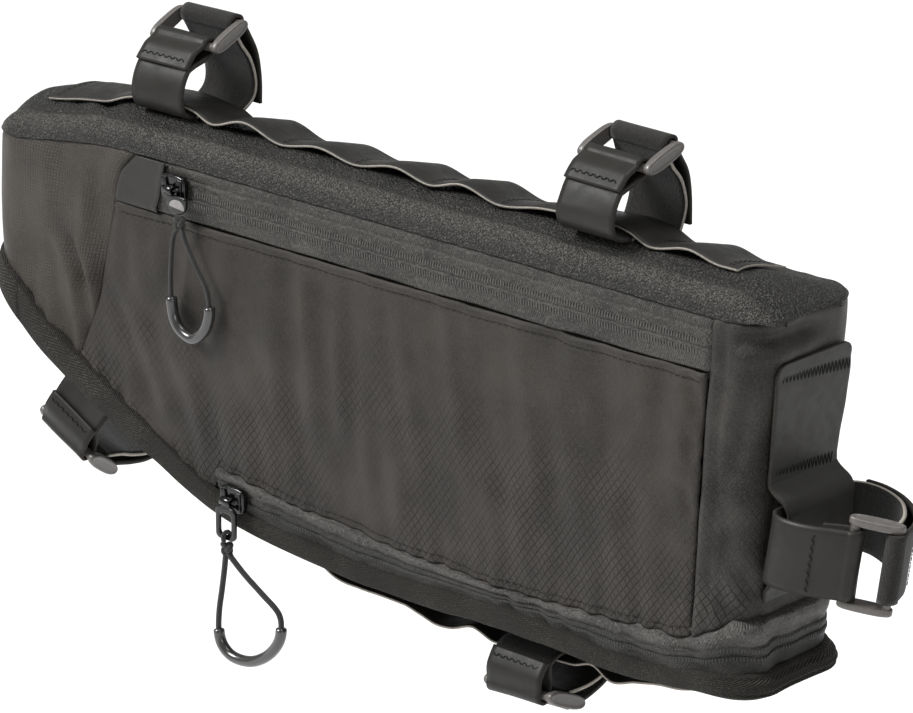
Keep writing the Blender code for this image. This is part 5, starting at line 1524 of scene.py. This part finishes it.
rounded_plate("lower_tab_frame", super_loop(96.1, 105.9, -133.4, -120.9, 2.2, 64), LOWER_Y - 0.3, 1.5, METAL,
              "lower_pull", ["tab_lower"], hole=super_loop(98.1, 103.9, -131.7, -123.4, 1.6, 64), bevel=0.5)
make_eye("lower_tab_eye", 101.0, LOWER_Y, -119.0, 5.1, "lower_pull", (98.9, 103.1, -122.6, -119.9))


# ---- knots, cords and grips --------------------------------------------------------
UPPER_PULL_Y, LOWER_PULL_Y = UPPER_Y - 0.5, LOWER_Y - 0.5
UPPER_CORD = ((77.9, -22.1), (76.2, -24.6), (75.0, -30.4), (74.2, -39.9), (74.3, -48.2), (75.6, -55.7), (79.0, -59.8),
              (85.1, -61.4), (90.7, -57.1), (93.1, -51.7), (93.4, -47.9), (92.1, -41.5), (87.2, -34.4), (83.4, -28.6),
              (81.2, -24.6), (80.6, -22.1))
LOWER_CORD = ((100.6, -139.7), (99.8, -145.4), (98.4, -153.5), (96.9, -161.7), (96.5, -169.2), (98.4, -174.9),
              (103.9, -178.0), (112.6, -177.3), (120.7, -172.9), (126.3, -166.6), (128.1, -160.3), (126.6, -154.5),
              (118.6, -149.5), (110.2, -144.5), (103.4, -139.6))


def knot_path(x, y, z, r):
    """An overhand knot pulled tight."""
    t = np.linspace(0, 2 * math.pi, 90)
    kx, kz, ky = np.sin(t) + 2 * np.sin(2 * t), np.cos(t) - 2 * np.cos(2 * t), -np.sin(3 * t)
    k = (r - 1.05) / 3.0
    return np.stack([x + kx * k, y + ky * k * 1.3, z + kz * k], -1)


def make_pull(name, y, route, kx, kz, kr, rad, body):
    pts = np.array(curve_points(list(route), 8))
    P = np.stack([pts[:, 0], y + 0 * pts[:, 0], pts[:, 1]], -1)
    g = P[4 * 8:10 * 8 + 1]
    first, last = np.array((kx - 0.7, y, kz - 0.9)), np.array((kx + 0.7, y, kz - 0.9))
    P = np.concatenate([[first, (first + P[0]) / 2], P, [(last + P[-1]) / 2, last]])
    end = "upper" if "upper" in name else "lower"
    cord = tube(name + "_cord", P, rad, CORD, body, ["cord_" + end], sides=12)
    knot = tube(name + "_knot", knot_path(kx, y, kz, kr), 1.1, CORD, body, ["knot_" + end], sides=10, caps=False)
    radii = np.full(len(g), 2.1)
    radii[:2] = (1.95, 2.1)
    radii[-2:] = (2.1, 1.95)
    grip = tube(name + "_grip", g, 2.1, GRIP, body, ["grip_" + end], sides=20, radii=radii)


make_pull("upper", UPPER_PULL_Y, UPPER_CORD, 79.2, -19.4, 2.9, 0.9, "upper_pull")
make_pull("lower", LOWER_PULL_Y, LOWER_CORD, 101.3, -136.5, 3.0, 1.1, "lower_pull")
# the cord's bight over the lower bar of the frame tab
t = np.linspace(-0.25 * math.pi, 1.25 * math.pi, 26)
tube("lower_bight", np.stack([101.2 + 0 * t, LOWER_PULL_Y + 1.75 * np.cos(t), -132.3 + 1.9 * np.sin(t)], -1), 0.85, CORD, "lower_pull", sides=10)


# ---- seams and stitching on the walls -------------------------------------------------
def front_y(x, z):
    x, z = np.asarray(x, float), np.asarray(z, float)
    return -(bulge(x, z) + front_detail(x, z, z - front_low(x), ZIP_LOW - 0.2 - z))


rows = []
xs = np.linspace(44, 315, 500)
zs = ZIP_LOW - 3.4 + 0.25 * np.sin(xs / 9.0)
rows += zigzag(np.stack([xs, front_y(xs, zs) - 0.04, zs], -1), (0, -1, 0), (0, 0, 0.7), 1.5, 0.24, 0.18)
xs = np.linspace(92, 309, 460)
zs = front_low(xs) + 3.0 + 0.3 * np.sin(xs / 6.0)
rows += zigzag(np.stack([xs, front_y(xs, zs) - 0.02, zs], -1), (0, -1, 0), (0, 0, 0.8), 1.6, 0.22, 0.16)
beads("front_seam_stitches", rows, THREAD)


# ---- stage and light ---------------------------------------------------------------------
def add_light(name, location, target, size, power, color=(1, 1, 1), size_y=None):
    data = bpy.data.lights.new(name, "AREA")
    data.energy = power
    data.shape = "RECTANGLE"
    data.size = size
    data.size_y = size_y or size
    data.color = color
    ob = bpy.data.objects.new(name, data)
    bpy.context.scene.collection.objects.link(ob)
    ob.location = location
    ob.rotation_euler = (Vector(target) - Vector(location)).to_track_quat("-Z", "Y").to_euler()
    return ob


floor_z = cad_box[0][2] - 0.25 if hasattr(cad_box[0], "__len__") else -0.46
bm = bmesh.new()
bmesh.ops.create_grid(bm, x_segments=2, y_segments=2, size=12.0)
fm = bpy.data.meshes.new("floor")
bm.to_mesh(fm)
bm.free()
floor = bpy.data.objects.new("floor", fm)
bpy.context.scene.collection.objects.link(floor)
floor.location = (0, 0, floor_z)
n = Nodes("pale_floor", rough=0.9, spec=0.1)
fm.materials.append(n.done((0.93, 0.93, 0.93)))

world = bpy.data.worlds.new("studio")
world.use_nodes = True
world.node_tree.nodes["Background"].inputs["Color"].default_value = (1.0, 1.0, 1.0, 1.0)
world.node_tree.nodes["Background"].inputs["Strength"].default_value = 0.36
bpy.context.scene.world = world
sun_data = bpy.data.lights.new("window", "SUN")
sun_data.energy = 2.8
sun_data.angle = math.radians(22)
sun = bpy.data.objects.new("window", sun_data)
bpy.context.scene.collection.objects.link(sun)
sun.rotation_euler = Vector((0.50, 0.52, -0.70)).to_track_quat("-Z", "Y").to_euler()
add_light("key", (-1.0, -1.5, 1.6), (0, 0, -0.05), 0.7, 26.0)
add_light("top", (0.3, 0.1, 1.8), (0, 0, -0.05), 0.9, 15.0)
add_light("side", (1.8, -0.9, 0.5), (0.05, 0, -0.05), 0.6, 5.0)
bpy.context.scene.view_settings.view_transform = "Standard"
